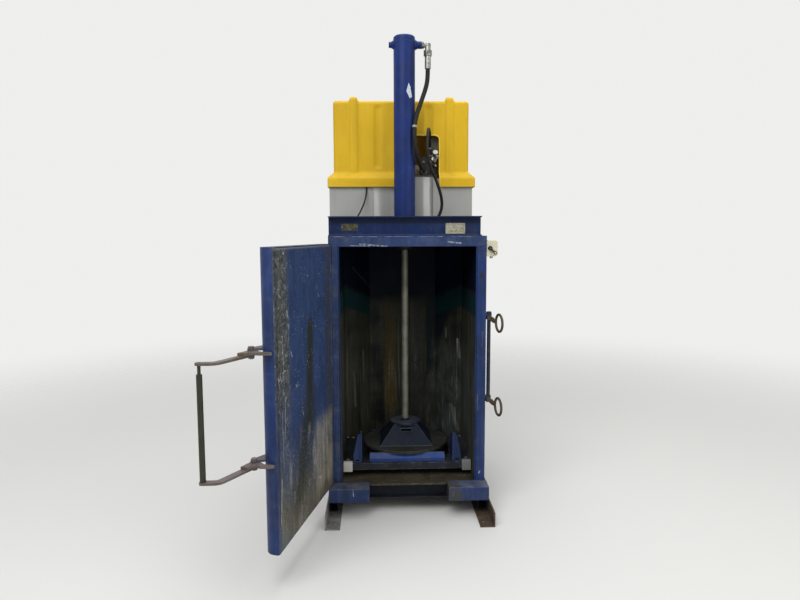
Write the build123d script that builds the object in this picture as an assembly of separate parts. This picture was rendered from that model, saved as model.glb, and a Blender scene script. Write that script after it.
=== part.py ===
from build123d import *
import math
import os

# Drum crusher: a steel cabinet with a hydraulic ram, a hinged door, a toggle latch,
# and a power unit on its roof.
# Lengths are in millimetres. X points right, Y points into the machine and Z points up.
# Depths are measured from the front face of the door frame.
# Each piece is moved to the machine's own origin when it is written.

# Cabinet
chamber_width = 714
chamber_depth = 705
chamber_corner = 150
floor_top = 160
floor_plate_thickness = 8
floor_tongue = 10
floor_tongue_half = 206
shell_wall = 6
jamb_size = 50
tube_wall = 5
opening_top = 1430
header_height = 56
roof_thickness = 12
jamb_bolt_drop = 152
jamb_bolt_inset = 25

# Base
foot_step = 22
foot_leg = 76
foot_wall = 6.5
foot_front = 210
foot_rear = 125
anchor_front = 150
anchor_rear = 75
anchor_inset = 51
anchor_radius = 9
rail_width = 50
base_channel_height = 76
base_channel_flange = 42
base_channel_wall = 6
sill_step = 9
sill_width = 212
sill_depth = 93
sill_height = 74
sill_above_floor = 6

# Roof beams
beam_height = 102
beam_flange = 46
beam_web = 6
beam_left_margin = 1
beam_right_margin = 27
cross_beam_inner = 222
beam_root_radius = 6
cross_beam_flange = 40

# Door and its hinge, drawn closed and then swung open
door_open_angle = 102.8
door_hinge_margin = 2
door_free_margin = 25
door_thickness = 68
door_gap = 5
door_foot_gap = 13
door_lap = 17
door_skin = 5
door_free_radius = 50
door_bend_radius = 8
hinge_inset = 5.5
hinge_standoff = 12.5
hinge_barrel_radius = 9.5
hinge_pin_radius = 5
hinge_leaf = 4
hinge_leaf_width = 28
hinge_knuckles = 12
hinge_knuckle_gap = 1
hinge_end_margin = 8
hinge_clearance = 0.05
rebate_width = 22
rebate_depth = 21

# Latch lever on the door, drawn on the closed door
latch_inset = 5
latch_standoff = 34
latch_rise = 858
latch_spacing = 465
latch_lug_thickness = 10
latch_lug_radius = 15
latch_lug_base = 98
latch_pin_radius = 7
latch_hook_thickness = 12
latch_bar_thickness = 10
latch_bar_half = 15
latch_bar_angle = -18
latch_bar_straight = 201
latch_tail_angle = -76
latch_tail_length = 60
latch_bend_radius = 34
latch_gap = 0.5
grip_rod_radius = 6.5
grip_radius = 11.5
grip_length = 420
grip_clearance = 0.1

# Catch on the right of the frame
catch_offset = 17.5
catch_depth = 18
catch_shaft_radius = 10
catch_above_latch = 35
catch_spacing = 443
catch_angle = -51
catch_arm_length = 49
catch_ring_turn = -79
catch_drop = 32
catch_ring_radius = 44.5
catch_ring_bar = 6.5
catch_lug_thickness = 10
catch_lug_radius = 15
catch_clearance = 0.05

# Door switch
switch_width = 58
switch_height = 84
switch_depth = 48
switch_drop = 52
switch_setback = 4
switch_pivot_inset = 43
switch_pivot_rise = 19
switch_head_radius = 15
switch_arm = 37
switch_arm_angle = 140
switch_roller_radius = 12

# Ram and cylinder
ram_depth = 355
cylinder_radius = 60
cylinder_bore = 50
cylinder_drop = 34
cylinder_length = 1146
cylinder_cap_depth = 30
cylinder_edge = 6
cylinder_seam = 2.2
mount_flange = 180
mount_flange_thickness = 18
mount_flange_corner = 12
mount_bolt_pitch = 140
mount_bolt_radius = 8
mount_bolt_slack = 0.5
gland_drop = 34
gland_spigot = 34
rod_radius = 19
rod_clearance = 0.1
rod_nose_step = 4
rod_tail_step = 5
piston_height = 46
piston_rise = 96
piston_groove = 2
port_drop = 45
upper_port_radius = 20
upper_port_stub = 37
upper_port_bore = 8
plug_port_radius = 16
plug_port_stub = 26
port_weld = 11
port_weld_length = 19
lower_port_rise = 34
lower_port_radius = 12
lower_port_stub = 24
lower_port_bore = 6

# Platen
shoe_drop = 12
shoe_size = 50
shoe_height = 54
shoe_gap = 3
shoe_bolt_radius = 6
shoe_bolt_offset = 37
shoe_front = 100
shoe_rear_margin = 5
platen_rest = 39
frame_plate = 10
frame_height = 36
frame_margin = 57
frame_front = 100
frame_front_width = 75
frame_side_width = 50
frame_corner = 62
side_bar_thickness = 8
side_bar_overlap = 22
cross_bar_offset = 90
cross_bar_half = 5
disc_radius = 245
disc_rise = 45
disc_thickness = 14
cone_base_half = 151
cone_top_half = 68
cone_height = 101
cone_wall = 10.4
cone_slot_drop = 26
cone_slot_half = 30
cone_slot_height = 12
rod_flange_radius = 88
rod_flange_thickness = 12
rod_collar_radius = 27
rod_collar_height = 12
stop_bar_half = 208
stop_bar_setback = 18
stop_bar_wall = 6
upright_step = 48
upright_base = 47
upright_top = 20
upright_height = 160
upright_thickness = 8
upright_setback = 16
upright_run = 115

# Power unit
deck_thickness = 5
deck_left_step = 28
deck_right_margin = 11
deck_front = 434
deck_depth = 308
skirt_setback = 11
skirt_left_margin = 8
skirt_right_margin = 2
skirt_rear_margin = 10
skirt_sheet = 3
skirt_lap = 34
skirt_under_cover = 48
tank_left = 214
tank_right = 205
tank_setback = 22
tank_rear_margin = 42
tank_height = 234
tank_corner = 30
tank_wall = 4
lid_thickness = 9
lid_overhang = 5
motor_x = -75
motor_setback = 158
motor_radius = 82
motor_length = 215
bell_radius = 66
bell_height = 78
bell_flange = 12
terminal_half = 35
terminal_depth = 44
terminal_low = 60
terminal_height = 90
fan_cover_height = 46
pump_half = 42
pump_height = 100
pump_pickup = 78
manifold_x = 152
manifold_setback = 114
manifold_width = 94
manifold_half_depth = 34
manifold_height = 116

# Moulded cover
cover_left_margin = 33
cover_right_margin = 21
cover_front_margin = 28
cover_rear_margin = 26
cover_height = 496
cover_wall = 5
cover_corner = 22
lip_step = 35
cover_rise = 174
lip_height = 56
lip_slope = 30
rib_centres = (-290, 268)
rib_width = 42
rib_rise = 22
rib_front = 9
rib_crown = 24
rib_round = 7
groove_centres = (-150, 148)
groove_radius = 62
groove_depth = 5
groove_end = 30
window_left = -22
window_right = 208
window_height = 299
window_radius = 28

# Hoses and cable
return_hose_diameter = 25
feed_hose_diameter = 17
cable_diameter = 9
return_ferrule_length = 26
small_ferrule_length = 42
large_ferrule_length = 69
ferrule_radius = 17
small_ferrule_radius = 12.5
upper_elbow_run = 34.5
upper_nut_drop = 60
lower_elbow_run = 22
lower_elbow_rise = 38
feed_end_reach = 62
feed_turn_reach = 104
return_leg = 46
return_lead = 40
return_port_offset = 33
return_port_gap = 46
return_port_rise = 23
feed_port_offset = 4
feed_port_gap = 22
feed_port_rise = 51
feed_lean_across = 3
feed_lean_back = 30
feed_lean_down = 36
cable_clip_margin = 3
cable_clip_gap = 6.5
cable_clip_drop = 29
cable_leg = 34
cable_foot_inset = 123
cable_foot_gap = 8
cable_foot_rise = 31
clip_half = 8
clip_height = 22

# Worked out from the sizes above
half_chamber = chamber_width / 2
half_frame = half_chamber + shell_wall + jamb_size
foot_outer = half_frame + foot_step
sill_outer = half_frame + sill_step
sill_inner = sill_outer - sill_width
beam_left = half_frame - beam_left_margin
beam_right = half_frame - beam_right_margin
cabinet_depth = chamber_depth + shell_wall
floor_bottom = floor_top - floor_plate_thickness
frame_top = opening_top + header_height
roof_bottom = frame_top - roof_thickness
jamb_bolt_height = opening_top - jamb_bolt_drop
deck_bottom = frame_top + beam_height
deck_top = deck_bottom + deck_thickness
deck_left = half_frame + deck_left_step
deck_right = half_frame - deck_right_margin
deck_rear = deck_front + deck_depth
skirt_front = deck_front + skirt_setback
skirt_rear = deck_rear - skirt_rear_margin
tank_front = deck_front + tank_setback
tank_rear = deck_rear - tank_rear_margin
tank_top = deck_top + tank_height
lid_top = tank_top + lid_thickness
motor_depth = deck_front + motor_setback
manifold_depth = deck_front + manifold_setback
manifold_front = manifold_depth - manifold_half_depth
manifold_top = lid_top + manifold_height
cover_left = deck_left - cover_left_margin
cover_right = deck_right - cover_right_margin
cover_front = deck_front + cover_front_margin
cover_rear = deck_rear - cover_rear_margin
lip_bottom = deck_top + cover_rise
lip_top = lip_bottom + lip_height
cover_top = lip_bottom + cover_height
window_top = lip_bottom + window_height
skirt_top = lip_bottom + skirt_under_cover
anchor_span_y = anchor_front + cabinet_depth + anchor_rear
anchor_span_x = 2 * (foot_outer - anchor_inset)
origin_depth = anchor_span_y / 2 - anchor_front
door_back = -door_gap - door_thickness
door_hinge_edge = half_frame - door_hinge_margin
door_free_edge = half_frame - door_free_margin
door_bottom = floor_top + door_foot_gap
door_top = opening_top + door_lap
hinge_x = -door_hinge_edge + hinge_inset
hinge_depth = -hinge_standoff
latch_x = door_free_edge - latch_inset
latch_depth = door_back - latch_standoff
latch_upper_height = door_bottom + latch_rise
latch_lower_height = latch_upper_height - latch_spacing
catch_x = half_frame + catch_offset
catch_upper_height = latch_upper_height + catch_above_latch
catch_lower_height = catch_upper_height - catch_spacing
switch_base = opening_top - switch_drop
switch_pivot_x = half_frame + switch_pivot_inset
switch_pivot_height = switch_base + switch_pivot_rise
cylinder_bottom = roof_bottom - cylinder_drop
cylinder_top = cylinder_bottom + cylinder_length
piston_bottom = cylinder_bottom + piston_rise
upper_port_height = cylinder_top - port_drop
lower_port_height = frame_top + lower_port_rise
upper_port_reach = cylinder_radius + upper_port_stub
plug_port_reach = cylinder_radius + plug_port_stub
lower_port_reach = cylinder_radius + lower_port_stub
frame_bottom = floor_top + platen_rest
frame_half = half_chamber - frame_margin
upright_inner = frame_half - upright_step
shoe_rear = chamber_depth - chamber_corner - shoe_rear_margin
shoe_bottom = frame_bottom - shoe_drop
platen_rear = 2 * ram_depth - frame_front
frame_level = frame_bottom + frame_height
disc_bottom = frame_level + disc_rise
cone_bottom = disc_bottom + disc_thickness
cone_top = cone_bottom + cone_height
rod_bottom = cone_top + rod_flange_thickness

nodes = {}


def box(x0, x1, y0, y1, z0, z1):
    """A block between two corners."""
    size = Box(x1 - x0, y1 - y0, z1 - z0)
    return Pos((x0 + x1) / 2, (y0 + y1) / 2, (z0 + z1) / 2) * size


def post(x, y, z0, z1, radius):
    """A round bar along Z."""
    return Pos(x, y, (z0 + z1) / 2) * Cylinder(radius, z1 - z0)


def bar_between(start, end, radius):
    """A round bar between two points."""
    a = Vector(*start)
    b = Vector(*end)
    plane = Plane(origin=a, z_dir=b - a)
    return extrude(plane * Circle(radius), (b - a).length)


def hexagon_between(start, end, across):
    """A hexagon bar between two points, given across its flats."""
    a = Vector(*start)
    b = Vector(*end)
    plane = Plane(origin=a, z_dir=b - a)
    return extrude(plane * RegularPolygon(across / 2, 6, major_radius=False), (b - a).length)


def prism(points, z0, z1):
    """An upright prism over an outline in plan."""
    outline = make_face(Polyline(*points, close=True))
    return extrude(Pos(0, 0, z0) * outline, z1 - z0)


def mirrored(shape):
    """The same piece on the other side of the machine."""
    return mirror(shape, about=Plane.YZ)


def swung_open(shape):
    """Turn a piece drawn on the closed door to the open door of the resting machine."""
    pivot = Pos(hinge_x, hinge_depth, 0)
    return pivot * Rot(0, 0, -door_open_angle) * pivot.inverse() * shape


def add(name, *solids):
    """Keep a node made of one or more solids."""
    nodes[name] = list(solids)


# Base: two angle feet, a welded frame of side tubes and cross channels, and two sill blocks
def foot(side):
    length = foot_front + cabinet_depth + foot_rear
    flat = box(foot_outer - foot_leg, foot_outer, -foot_front, cabinet_depth + foot_rear, 0, foot_wall)
    wall = box(foot_outer - foot_wall, foot_outer, -foot_front, cabinet_depth + foot_rear, 0, foot_leg)
    angle = flat + wall
    for depth in (-anchor_front, cabinet_depth + anchor_rear):
        angle -= post(foot_outer - anchor_inset, depth, -1, foot_wall + 1, anchor_radius)
    inner_edges = angle.edges().filter_by(Axis.Y).group_by(SortBy.LENGTH)[-1]
    root = [e for e in inner_edges if abs(e.center().X - (foot_outer - foot_wall)) < 0.1
            and abs(e.center().Z - foot_wall) < 0.1]
    angle = fillet(root, foot_wall)
    return angle if side > 0 else mirrored(angle)


add("anchor_feet", foot(-1), foot(1))


def base_frame():
    rail_outer = foot_outer - foot_wall
    rail_inner = rail_outer - rail_width
    rail = box(rail_inner, rail_outer, 0, cabinet_depth, foot_wall, floor_bottom)
    rail = fillet(rail.edges().filter_by(Axis.Y), foot_wall + 0.5)
    rail -= box(rail_inner + tube_wall, rail_outer - tube_wall, -1, cabinet_depth + 1,
                foot_wall + tube_wall, floor_bottom - tube_wall)
    low = floor_bottom - base_channel_height
    front = box(-rail_inner, rail_inner, 0, base_channel_flange, low, floor_bottom)
    front -= box(-rail_inner - 1, rail_inner + 1, -1, base_channel_flange - base_channel_wall,
                 low + base_channel_wall, floor_bottom - base_channel_wall)
    rear = mirror(front, about=Plane(origin=(0, cabinet_depth / 2, 0), z_dir=(0, 1, 0)))
    return rail + mirrored(rail) + front + rear


add("base_frame", base_frame())


def sill_block():
    top = floor_top + sill_above_floor
    block = box(sill_inner, sill_outer, -sill_depth, 0, top - sill_height, top)
    block = fillet(block.edges().filter_by(Axis.X).group_by(Axis.Y)[0], 5)
    cavity = box(sill_inner + tube_wall, sill_outer + 1, -sill_depth + tube_wall, -tube_wall,
                 top - sill_height + tube_wall, top - tube_wall)
    return block - cavity


add("sill_blocks", sill_block(), mirrored(sill_block()))

floor_plate = box(-half_frame, half_frame, 0, cabinet_depth, floor_bottom, floor_top)
floor_plate += box(-floor_tongue_half, floor_tongue_half, -floor_tongue, 0, floor_bottom, floor_top)
add("floor_plate", floor_plate)


# Cabinet: folded chamber wall with bevelled rear corners, tube jambs and header, roof plate
def chamber_shell():
    straight = chamber_depth - chamber_corner
    diagonal = shell_wall * math.tan(math.radians(22.5))
    bevel_x = half_chamber - chamber_corner
    inner = [(-half_chamber, 0), (-half_chamber, straight), (-bevel_x, chamber_depth),
             (bevel_x, chamber_depth), (half_chamber, straight), (half_chamber, 0)]
    out = half_chamber + shell_wall
    bevel_out = bevel_x + diagonal
    outer = [(out, 0), (out, straight + diagonal), (bevel_out, cabinet_depth),
             (-bevel_out, cabinet_depth), (-out, straight + diagonal), (-out, 0)]
    shell = prism(inner + outer, floor_top, roof_bottom)
    header_notch = box(-out - 1, out + 1, -1, jamb_size, opening_top, roof_bottom + 1)
    return shell - header_notch


add("chamber_shell", chamber_shell())


def jamb(with_bolt):
    inner = half_chamber + shell_wall
    tube = box(inner, half_frame, 0, jamb_size, floor_top, opening_top)
    tube = fillet(tube.edges().filter_by(Axis.Z), 4)
    tube -= box(inner + tube_wall, half_frame - tube_wall, tube_wall, jamb_size - tube_wall,
                floor_top - 1, opening_top + 1)
    if with_bolt:
        x = half_frame - jamb_bolt_inset
        tube -= Pos(x, 0, jamb_bolt_height) * Rot(90, 0, 0) * Cylinder(5, 3 * tube_wall)
    return tube


add("jamb_left", mirrored(jamb(False)))
add("jamb_right", jamb(True))



def jamb_bolt():
    x = half_frame - jamb_bolt_inset
    head = bar_between((x, 0, jamb_bolt_height), (x, -3, jamb_bolt_height), 11)
    shank = bar_between((x, 0, jamb_bolt_height), (x, 2 * tube_wall, jamb_bolt_height), 4.9)
    socket = bar_between((x, -2, jamb_bolt_height), (x, -4, jamb_bolt_height), 6)
    return head + shank - socket


add("jamb_bolt", jamb_bolt())

header = box(-half_frame, half_frame, 0, jamb_size, opening_top, frame_top)
header = fillet(header.edges().filter_by(Axis.X), 4)
header -= box(-half_frame - 1, half_frame + 1, tube_wall, jamb_size - tube_wall,
              opening_top + tube_wall, frame_top - tube_wall)
add("header", header)

bolt_places = [(sx * mount_bolt_pitch / 2, ram_depth + sy * mount_bolt_pitch / 2)
               for sx in (-1, 1) for sy in (-1, 1)]
roof_plate = box(-half_frame, half_frame, jamb_size, cabinet_depth, roof_bottom, frame_top)
roof_plate -= post(0, ram_depth, roof_bottom - 1, frame_top + 1, cylinder_radius + 1)
for bolt_x, bolt_y in bolt_places:
    roof_plate -= post(bolt_x, bolt_y, roof_bottom - 1, frame_top + 1,
                       mount_bolt_radius + mount_bolt_slack)
add("roof_plate", roof_plate)


# Roof beams: an open channel across the front, and a rear channel with two cross channels
def channel(x0, x1):
    beam = box(x0, x1, 0, beam_flange, frame_top, deck_bottom)
    beam -= box(x0 - 1, x1 + 1, -1, beam_flange - beam_web, frame_top + beam_web, deck_bottom - beam_web)
    root = beam_flange - beam_web
    corners = [e for e in beam.edges().filter_by(Axis.X) if abs(e.center().Y - root) < 0.1]
    return fillet(corners, beam_root_radius)


add("top_beam", channel(-beam_left, beam_right))


def roof_frame():
    middle_depth = Plane(origin=(0, cabinet_depth / 2, 0), z_dir=(0, 1, 0))
    rear = mirror(channel(-beam_left, beam_left), about=middle_depth)
    cross_outer = cross_beam_inner + cross_beam_flange
    cross = box(cross_beam_inner, cross_outer, beam_flange, cabinet_depth - beam_flange,
                frame_top, deck_bottom)
    cross -= box(cross_beam_inner + beam_web, cross_outer + 1, beam_flange - 1, cabinet_depth,
                 frame_top + beam_web, deck_bottom - beam_web)
    return rear + cross + mirrored(cross)


add("roof_frame", roof_frame())


# Door: a folded pan with a large round on its free edge, closed by an inner plate
def door_outline(z0, z1):
    pieces = box(-door_hinge_edge, door_free_edge, door_back, -door_gap, z0, z1)
    uprights = pieces.edges().filter_by(Axis.Z)
    outer_free = uprights.group_by(Axis.Y)[0].sort_by(Axis.X)[-1]
    pieces = fillet([outer_free], door_free_radius)
    inner_free = pieces.edges().filter_by(Axis.Z).group_by(Axis.Y)[-1].sort_by(Axis.X)[-1]
    outer_hinge = pieces.edges().filter_by(Axis.Z).group_by(Axis.Y)[0].sort_by(Axis.X)[0]
    return fillet([inner_free, outer_hinge], door_bend_radius)


def door_pan():
    pan = door_outline(door_bottom, door_top)
    pan -= box(-door_hinge_edge - 1, -door_hinge_edge + rebate_width, -door_gap - rebate_depth, 0,
               door_bottom - 1, door_top + 1)
    plate_left = -door_hinge_edge + rebate_width + door_skin
    low = door_bottom + door_skin
    high = door_top - door_skin
    far_x = door_free_edge - door_skin
    cavity = box(plate_left, half_chamber, door_back + door_skin, 0, low, high)
    far = box(half_chamber - 1, far_x, door_back + door_skin, -door_gap - door_skin, low, high)
    far_edge = far.edges().filter_by(Axis.Z).group_by(Axis.Y)[0].sort_by(Axis.X)[-1]
    far = fillet([far_edge], min(door_free_radius - door_skin, far_x - half_chamber - 1))
    near = box(-door_hinge_edge + door_skin, plate_left + 1, door_back + door_skin,
               -door_gap - rebate_depth - door_skin, low, high)
    return pan - cavity - far - near


def inner_plate():
    left = -door_hinge_edge + rebate_width + door_skin
    return box(left, half_chamber, -door_gap - door_skin, -door_gap,
               door_bottom + door_skin, door_top - door_skin)


add("door_pan", swung_open(door_pan()))
add("door_inner_plate", swung_open(inner_plate()))


# Continuous hinge: knuckles in turn on a leaf of the frame and a leaf of the door, on one pin
knuckle_span = (door_top - door_bottom - 2 * hinge_end_margin) / hinge_knuckles


def knuckle(index):
    low = door_bottom + hinge_end_margin + index * knuckle_span
    return low + hinge_knuckle_gap / 2, low + knuckle_span - hinge_knuckle_gap / 2


def frame_leaf():
    low = door_bottom + hinge_end_margin
    high = door_top - hinge_end_margin
    left = hinge_x + hinge_barrel_radius + 2
    leaf = box(left, left + hinge_leaf_width, -hinge_leaf, 0, low, high)
    for index in range(0, hinge_knuckles, 2):
        z0, z1 = knuckle(index)
        leaf += box(hinge_x, left + 1, -hinge_leaf, 0, z0, z1)
        leaf += post(hinge_x, hinge_depth, z0, z1, hinge_barrel_radius)
    return leaf - post(hinge_x, hinge_depth, low - 1, high + 1, hinge_pin_radius + hinge_clearance)


def door_leaf():
    low = door_bottom + hinge_end_margin
    high = door_top - hinge_end_margin
    back = -door_gap - rebate_depth
    leaf = box(-door_hinge_edge, -door_hinge_edge + rebate_width, back, back + 5, low, high)
    leaf -= post(hinge_x, hinge_depth, low - 1, high + 1, hinge_barrel_radius + 0.6)
    for index in range(1, hinge_knuckles, 2):
        z0, z1 = knuckle(index)
        leaf += box(hinge_x - 4, hinge_x + 4, back, hinge_depth, z0, z1)
        leaf += post(hinge_x, hinge_depth, z0, z1, hinge_barrel_radius)
    return leaf - post(hinge_x, hinge_depth, low - 1, high + 1, hinge_pin_radius + hinge_clearance)


add("hinge_leaf_frame", frame_leaf())
add("hinge_leaf_door", swung_open(door_leaf()))
add("hinge_pin", post(hinge_x, hinge_depth, door_bottom + hinge_end_margin - 4,
                      door_top - hinge_end_margin + 4, hinge_pin_radius))


# Latch lever: two lugs and pins on the door, two hooked arms joined by a tie rod with a loose grip
def latch_lug(height):
    x0 = latch_x - latch_lug_base
    outline = [(x0, door_back + 20), (x0, door_back - 4), (latch_x - 11, latch_depth - 10),
               (latch_x + 8, latch_depth - 10), (latch_x + 8, latch_depth + 6),
               (latch_x - 16, door_back + 20)]
    lug = prism(outline, height, height + latch_lug_thickness)
    lug += post(latch_x, latch_depth, height, height + latch_lug_thickness, latch_lug_radius)
    lug -= door_outline(door_bottom, door_top)
    return lug - post(latch_x, latch_depth, height - 1, height + latch_lug_thickness + 1,
                      latch_pin_radius + 0.05)


def latch_pin(height):
    low = height - latch_gap - latch_hook_thickness - latch_bar_thickness
    top = height + latch_lug_thickness
    pin = post(latch_x, latch_depth, low - 12, top, latch_pin_radius)
    pin += post(latch_x, latch_depth, top, top + 7, 12)
    return pin + hexagon_between((latch_x, latch_depth, low - 10), (latch_x, latch_depth, low - 0.5), 22)


def latch_arm(height):
    """Hook plate under the lug, with the bent handle bar welded below it."""
    top = height - latch_gap
    mid = top - latch_hook_thickness
    low = mid - latch_bar_thickness
    bend = math.radians(latch_bar_angle)
    along = (math.cos(bend), math.sin(bend))
    heel = (latch_x + 62 * along[0], latch_depth + 62 * along[1])
    claw = [(-17, -12), (-15, 12), (14, 49), (15, 81), (20, 95), (30, 77), (38, 45), (32, 19)]
    outline = [(latch_x + dx, latch_depth + dy) for dx, dy in claw]
    outline += [(heel[0], heel[1] + 14), (heel[0], heel[1] - 14)]
    hook = prism(outline, mid, top)
    hook += post(latch_x, latch_depth, mid, top, 19)
    corner = (latch_x + latch_bar_straight * along[0], latch_depth + latch_bar_straight * along[1])
    tail = math.radians(latch_tail_angle)
    end = (corner[0] + latch_tail_length * math.cos(tail),
           corner[1] + latch_tail_length * math.sin(tail))
    path = FilletPolyline((latch_x, latch_depth), corner, end, radius=latch_bend_radius)
    strip = trace(path, 2 * latch_bar_half)
    bar = extrude(Pos(0, 0, low) * strip, latch_bar_thickness)
    bar += post(latch_x, latch_depth, low, mid, latch_bar_half)
    bar += post(end[0], end[1], low, mid, latch_bar_half)
    arm = hook + bar
    arm -= post(latch_x, latch_depth, low - 1, top + 1, latch_pin_radius + 0.05)
    arm -= post(end[0], end[1], low - 1, mid + 1, grip_rod_radius + 0.05)
    return arm, end, low, mid


upper_arm, grip_place, _, upper_mid = latch_arm(latch_upper_height)
lower_arm, _, lower_low, lower_mid = latch_arm(latch_lower_height)
add("latch_lugs", swung_open(latch_lug(latch_upper_height)), swung_open(latch_lug(latch_lower_height)))
add("latch_pins", swung_open(latch_pin(latch_upper_height)), swung_open(latch_pin(latch_lower_height)))
add("latch_arms", swung_open(upper_arm), swung_open(lower_arm))
tie_rod = post(grip_place[0], grip_place[1], lower_low, upper_mid, grip_rod_radius)
add("latch_tie_rod", swung_open(tie_rod))
grip = post(grip_place[0], grip_place[1], lower_mid, lower_mid + grip_length, grip_radius)
grip = fillet(grip.edges(), 1.5)
grip -= post(grip_place[0], grip_place[1], lower_mid - 1, lower_mid + grip_length + 1,
             grip_rod_radius + grip_clearance)
add("grip_sleeve", swung_open(grip))


# Catch: a shaft in two lugs on the frame, with two arms that end in rings
def catch_lug(height):
    top = height + catch_lug_thickness
    lug = box(half_frame, catch_x, catch_depth - catch_lug_radius, catch_depth + catch_lug_radius,
              height, top)
    lug += post(catch_x, catch_depth, height, top, catch_lug_radius)
    return lug - post(catch_x, catch_depth, height - 1, height + catch_lug_thickness + 1,
                      catch_shaft_radius + catch_clearance)


def catch_arm(height):
    """An arm that falls away from its hub to a ring standing upright at its end."""
    turn = math.radians(catch_angle)
    ring_turn = math.radians(catch_ring_turn)
    tip_x = catch_x + catch_arm_length * math.cos(turn)
    tip_y = catch_depth + catch_arm_length * math.sin(turn)
    ring_x = tip_x + catch_ring_radius * math.cos(ring_turn)
    ring_y = tip_y + catch_ring_radius * math.sin(ring_turn)
    hub = post(catch_x, catch_depth, height - 22, height - 0.5, 15)
    plane = Plane(origin=(catch_x, catch_depth, height), x_dir=(math.cos(turn), math.sin(turn), 0),
                  z_dir=(math.sin(turn), -math.cos(turn), 0))
    side = [(0, -1), (0, -21), (catch_arm_length * 0.6, -36), (catch_arm_length, -catch_drop - 8),
            (catch_arm_length, -catch_drop + 8), (catch_arm_length * 0.6, -10)]
    arm = extrude(plane * make_face(Polyline(*side, close=True)), 5, both=True)
    ring_plane = Plane(origin=(ring_x, ring_y, height - catch_drop),
                       z_dir=(math.sin(ring_turn), -math.cos(ring_turn), 0))
    ring = Location(ring_plane) * Torus(catch_ring_radius, catch_ring_bar)
    eye = hub + arm + ring
    return eye - post(catch_x, catch_depth, height - 30, height + 1, catch_shaft_radius + catch_clearance)


add("catch_lugs", catch_lug(catch_upper_height), catch_lug(catch_lower_height))
add("catch_arms", catch_arm(catch_upper_height), catch_arm(catch_lower_height))
catch_top = catch_upper_height + catch_lug_thickness
catch_shaft = post(catch_x, catch_depth, catch_lower_height - 26, catch_top + 10, catch_shaft_radius)
catch_shaft += post(catch_x, catch_depth, catch_top + 0.5, catch_top + 9, catch_shaft_radius + 4)
add("catch_shaft", catch_shaft)


# Door switch: a cast body on the frame, a sprung lever and its roller
roller_turn = math.radians(switch_arm_angle)
roller_x = switch_pivot_x + switch_arm * math.cos(roller_turn)
roller_height = switch_pivot_height + switch_arm * math.sin(roller_turn)


def switch_bar(back, front, radius):
    """A round bar along the lever's pivot."""
    return bar_between((switch_pivot_x, back, switch_pivot_height),
                       (switch_pivot_x, front, switch_pivot_height), radius)


def roller_bar(back, front, radius):
    """A round bar along the roller's axle."""
    return bar_between((roller_x, back, roller_height), (roller_x, front, roller_height), radius)


def switch_body():
    body = box(half_frame, half_frame + switch_width, switch_setback, switch_setback + switch_depth,
               switch_base, switch_base + switch_height)
    body = fillet(body.edges().filter_by(Axis.Y).group_by(Axis.X)[-1], 16)
    body = fillet(body.faces().sort_by(Axis.Y)[0].edges().filter_by(GeomType.LINE, reverse=True), 3)
    boss = switch_bar(6, -4, switch_head_radius)
    stem = switch_bar(-4, -14, 4)
    gland = post(half_frame + switch_width / 2, switch_setback + switch_depth / 2, switch_base - 12,
                 switch_base, 9)
    return body + boss + stem + gland


def switch_lever():
    hub = switch_bar(-4.5, -9.5, 9)
    tip = roller_bar(-4.5, -9.5, 6)
    middle_x = (switch_pivot_x + roller_x) / 2
    middle_z = (switch_pivot_height + roller_height) / 2
    web = Pos(middle_x, -7, middle_z) * Rot(0, -switch_arm_angle, 0) * Box(switch_arm, 5, 10)
    lever = hub + tip + web + roller_bar(-9.5, -21, 3.5) + roller_bar(-20, -21.5, 6)
    return lever - switch_bar(-3, -12, 4.05)


add("switch_body", switch_body())
add("switch_lever", switch_lever())
roller = chamfer(roller_bar(-10.5, -19.5, switch_roller_radius).edges(), 1.5)
add("switch_roller", roller - roller_bar(-9, -21, 3.55))


# Cylinder: tube with a domed end, a square flange under the roof and welded ports
def port(height, reach, radius):
    """A round bar from the cylinder's axis out to one side."""
    return bar_between((0, ram_depth, height), (reach, ram_depth, height), radius)


def port_cone(side, radius):
    """The tapered weld where a port meets the cylinder."""
    middle_x = side * (cylinder_radius + port_weld_length / 4)
    cone = Cone(radius + port_weld, radius, port_weld_length)
    return Pos(middle_x, ram_depth, upper_port_height) * Rot(0, 90 * side, 0) * cone


def cylinder():
    tube = post(0, ram_depth, cylinder_bottom, cylinder_top, cylinder_radius)
    tube = chamfer(tube.faces().sort_by(Axis.Z)[-1].edges(), cylinder_edge)
    seam_level = cylinder_top - cylinder_cap_depth
    tube -= Pos(0, ram_depth, seam_level) * Torus(cylinder_radius + cylinder_seam / 2, cylinder_seam)
    half = mount_flange / 2
    flange = box(-half, half, ram_depth - half, ram_depth + half,
                 roof_bottom - mount_flange_thickness, roof_bottom)
    tube += fillet(flange.edges().filter_by(Axis.Z), mount_flange_corner)
    tube += port(upper_port_height, -plug_port_reach, plug_port_radius)
    tube += port(upper_port_height, upper_port_reach, upper_port_radius)
    tube += port(lower_port_height, lower_port_reach, lower_port_radius)
    tube += port_cone(-1, plug_port_radius)
    tube += port_cone(1, upper_port_radius)
    tube -= post(0, ram_depth, cylinder_bottom - 1, cylinder_top - cylinder_cap_depth, cylinder_bore)
    tube -= port(upper_port_height, upper_port_reach + 1, upper_port_bore)
    tube -= port(lower_port_height, lower_port_reach + 1, lower_port_bore)
    for x, y in bolt_places:
        tube -= post(x, y, roof_bottom - mount_flange_thickness - 1, roof_bottom + 1,
                     mount_bolt_radius + mount_bolt_slack)
    return tube


add("cylinder_tube", cylinder())

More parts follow.
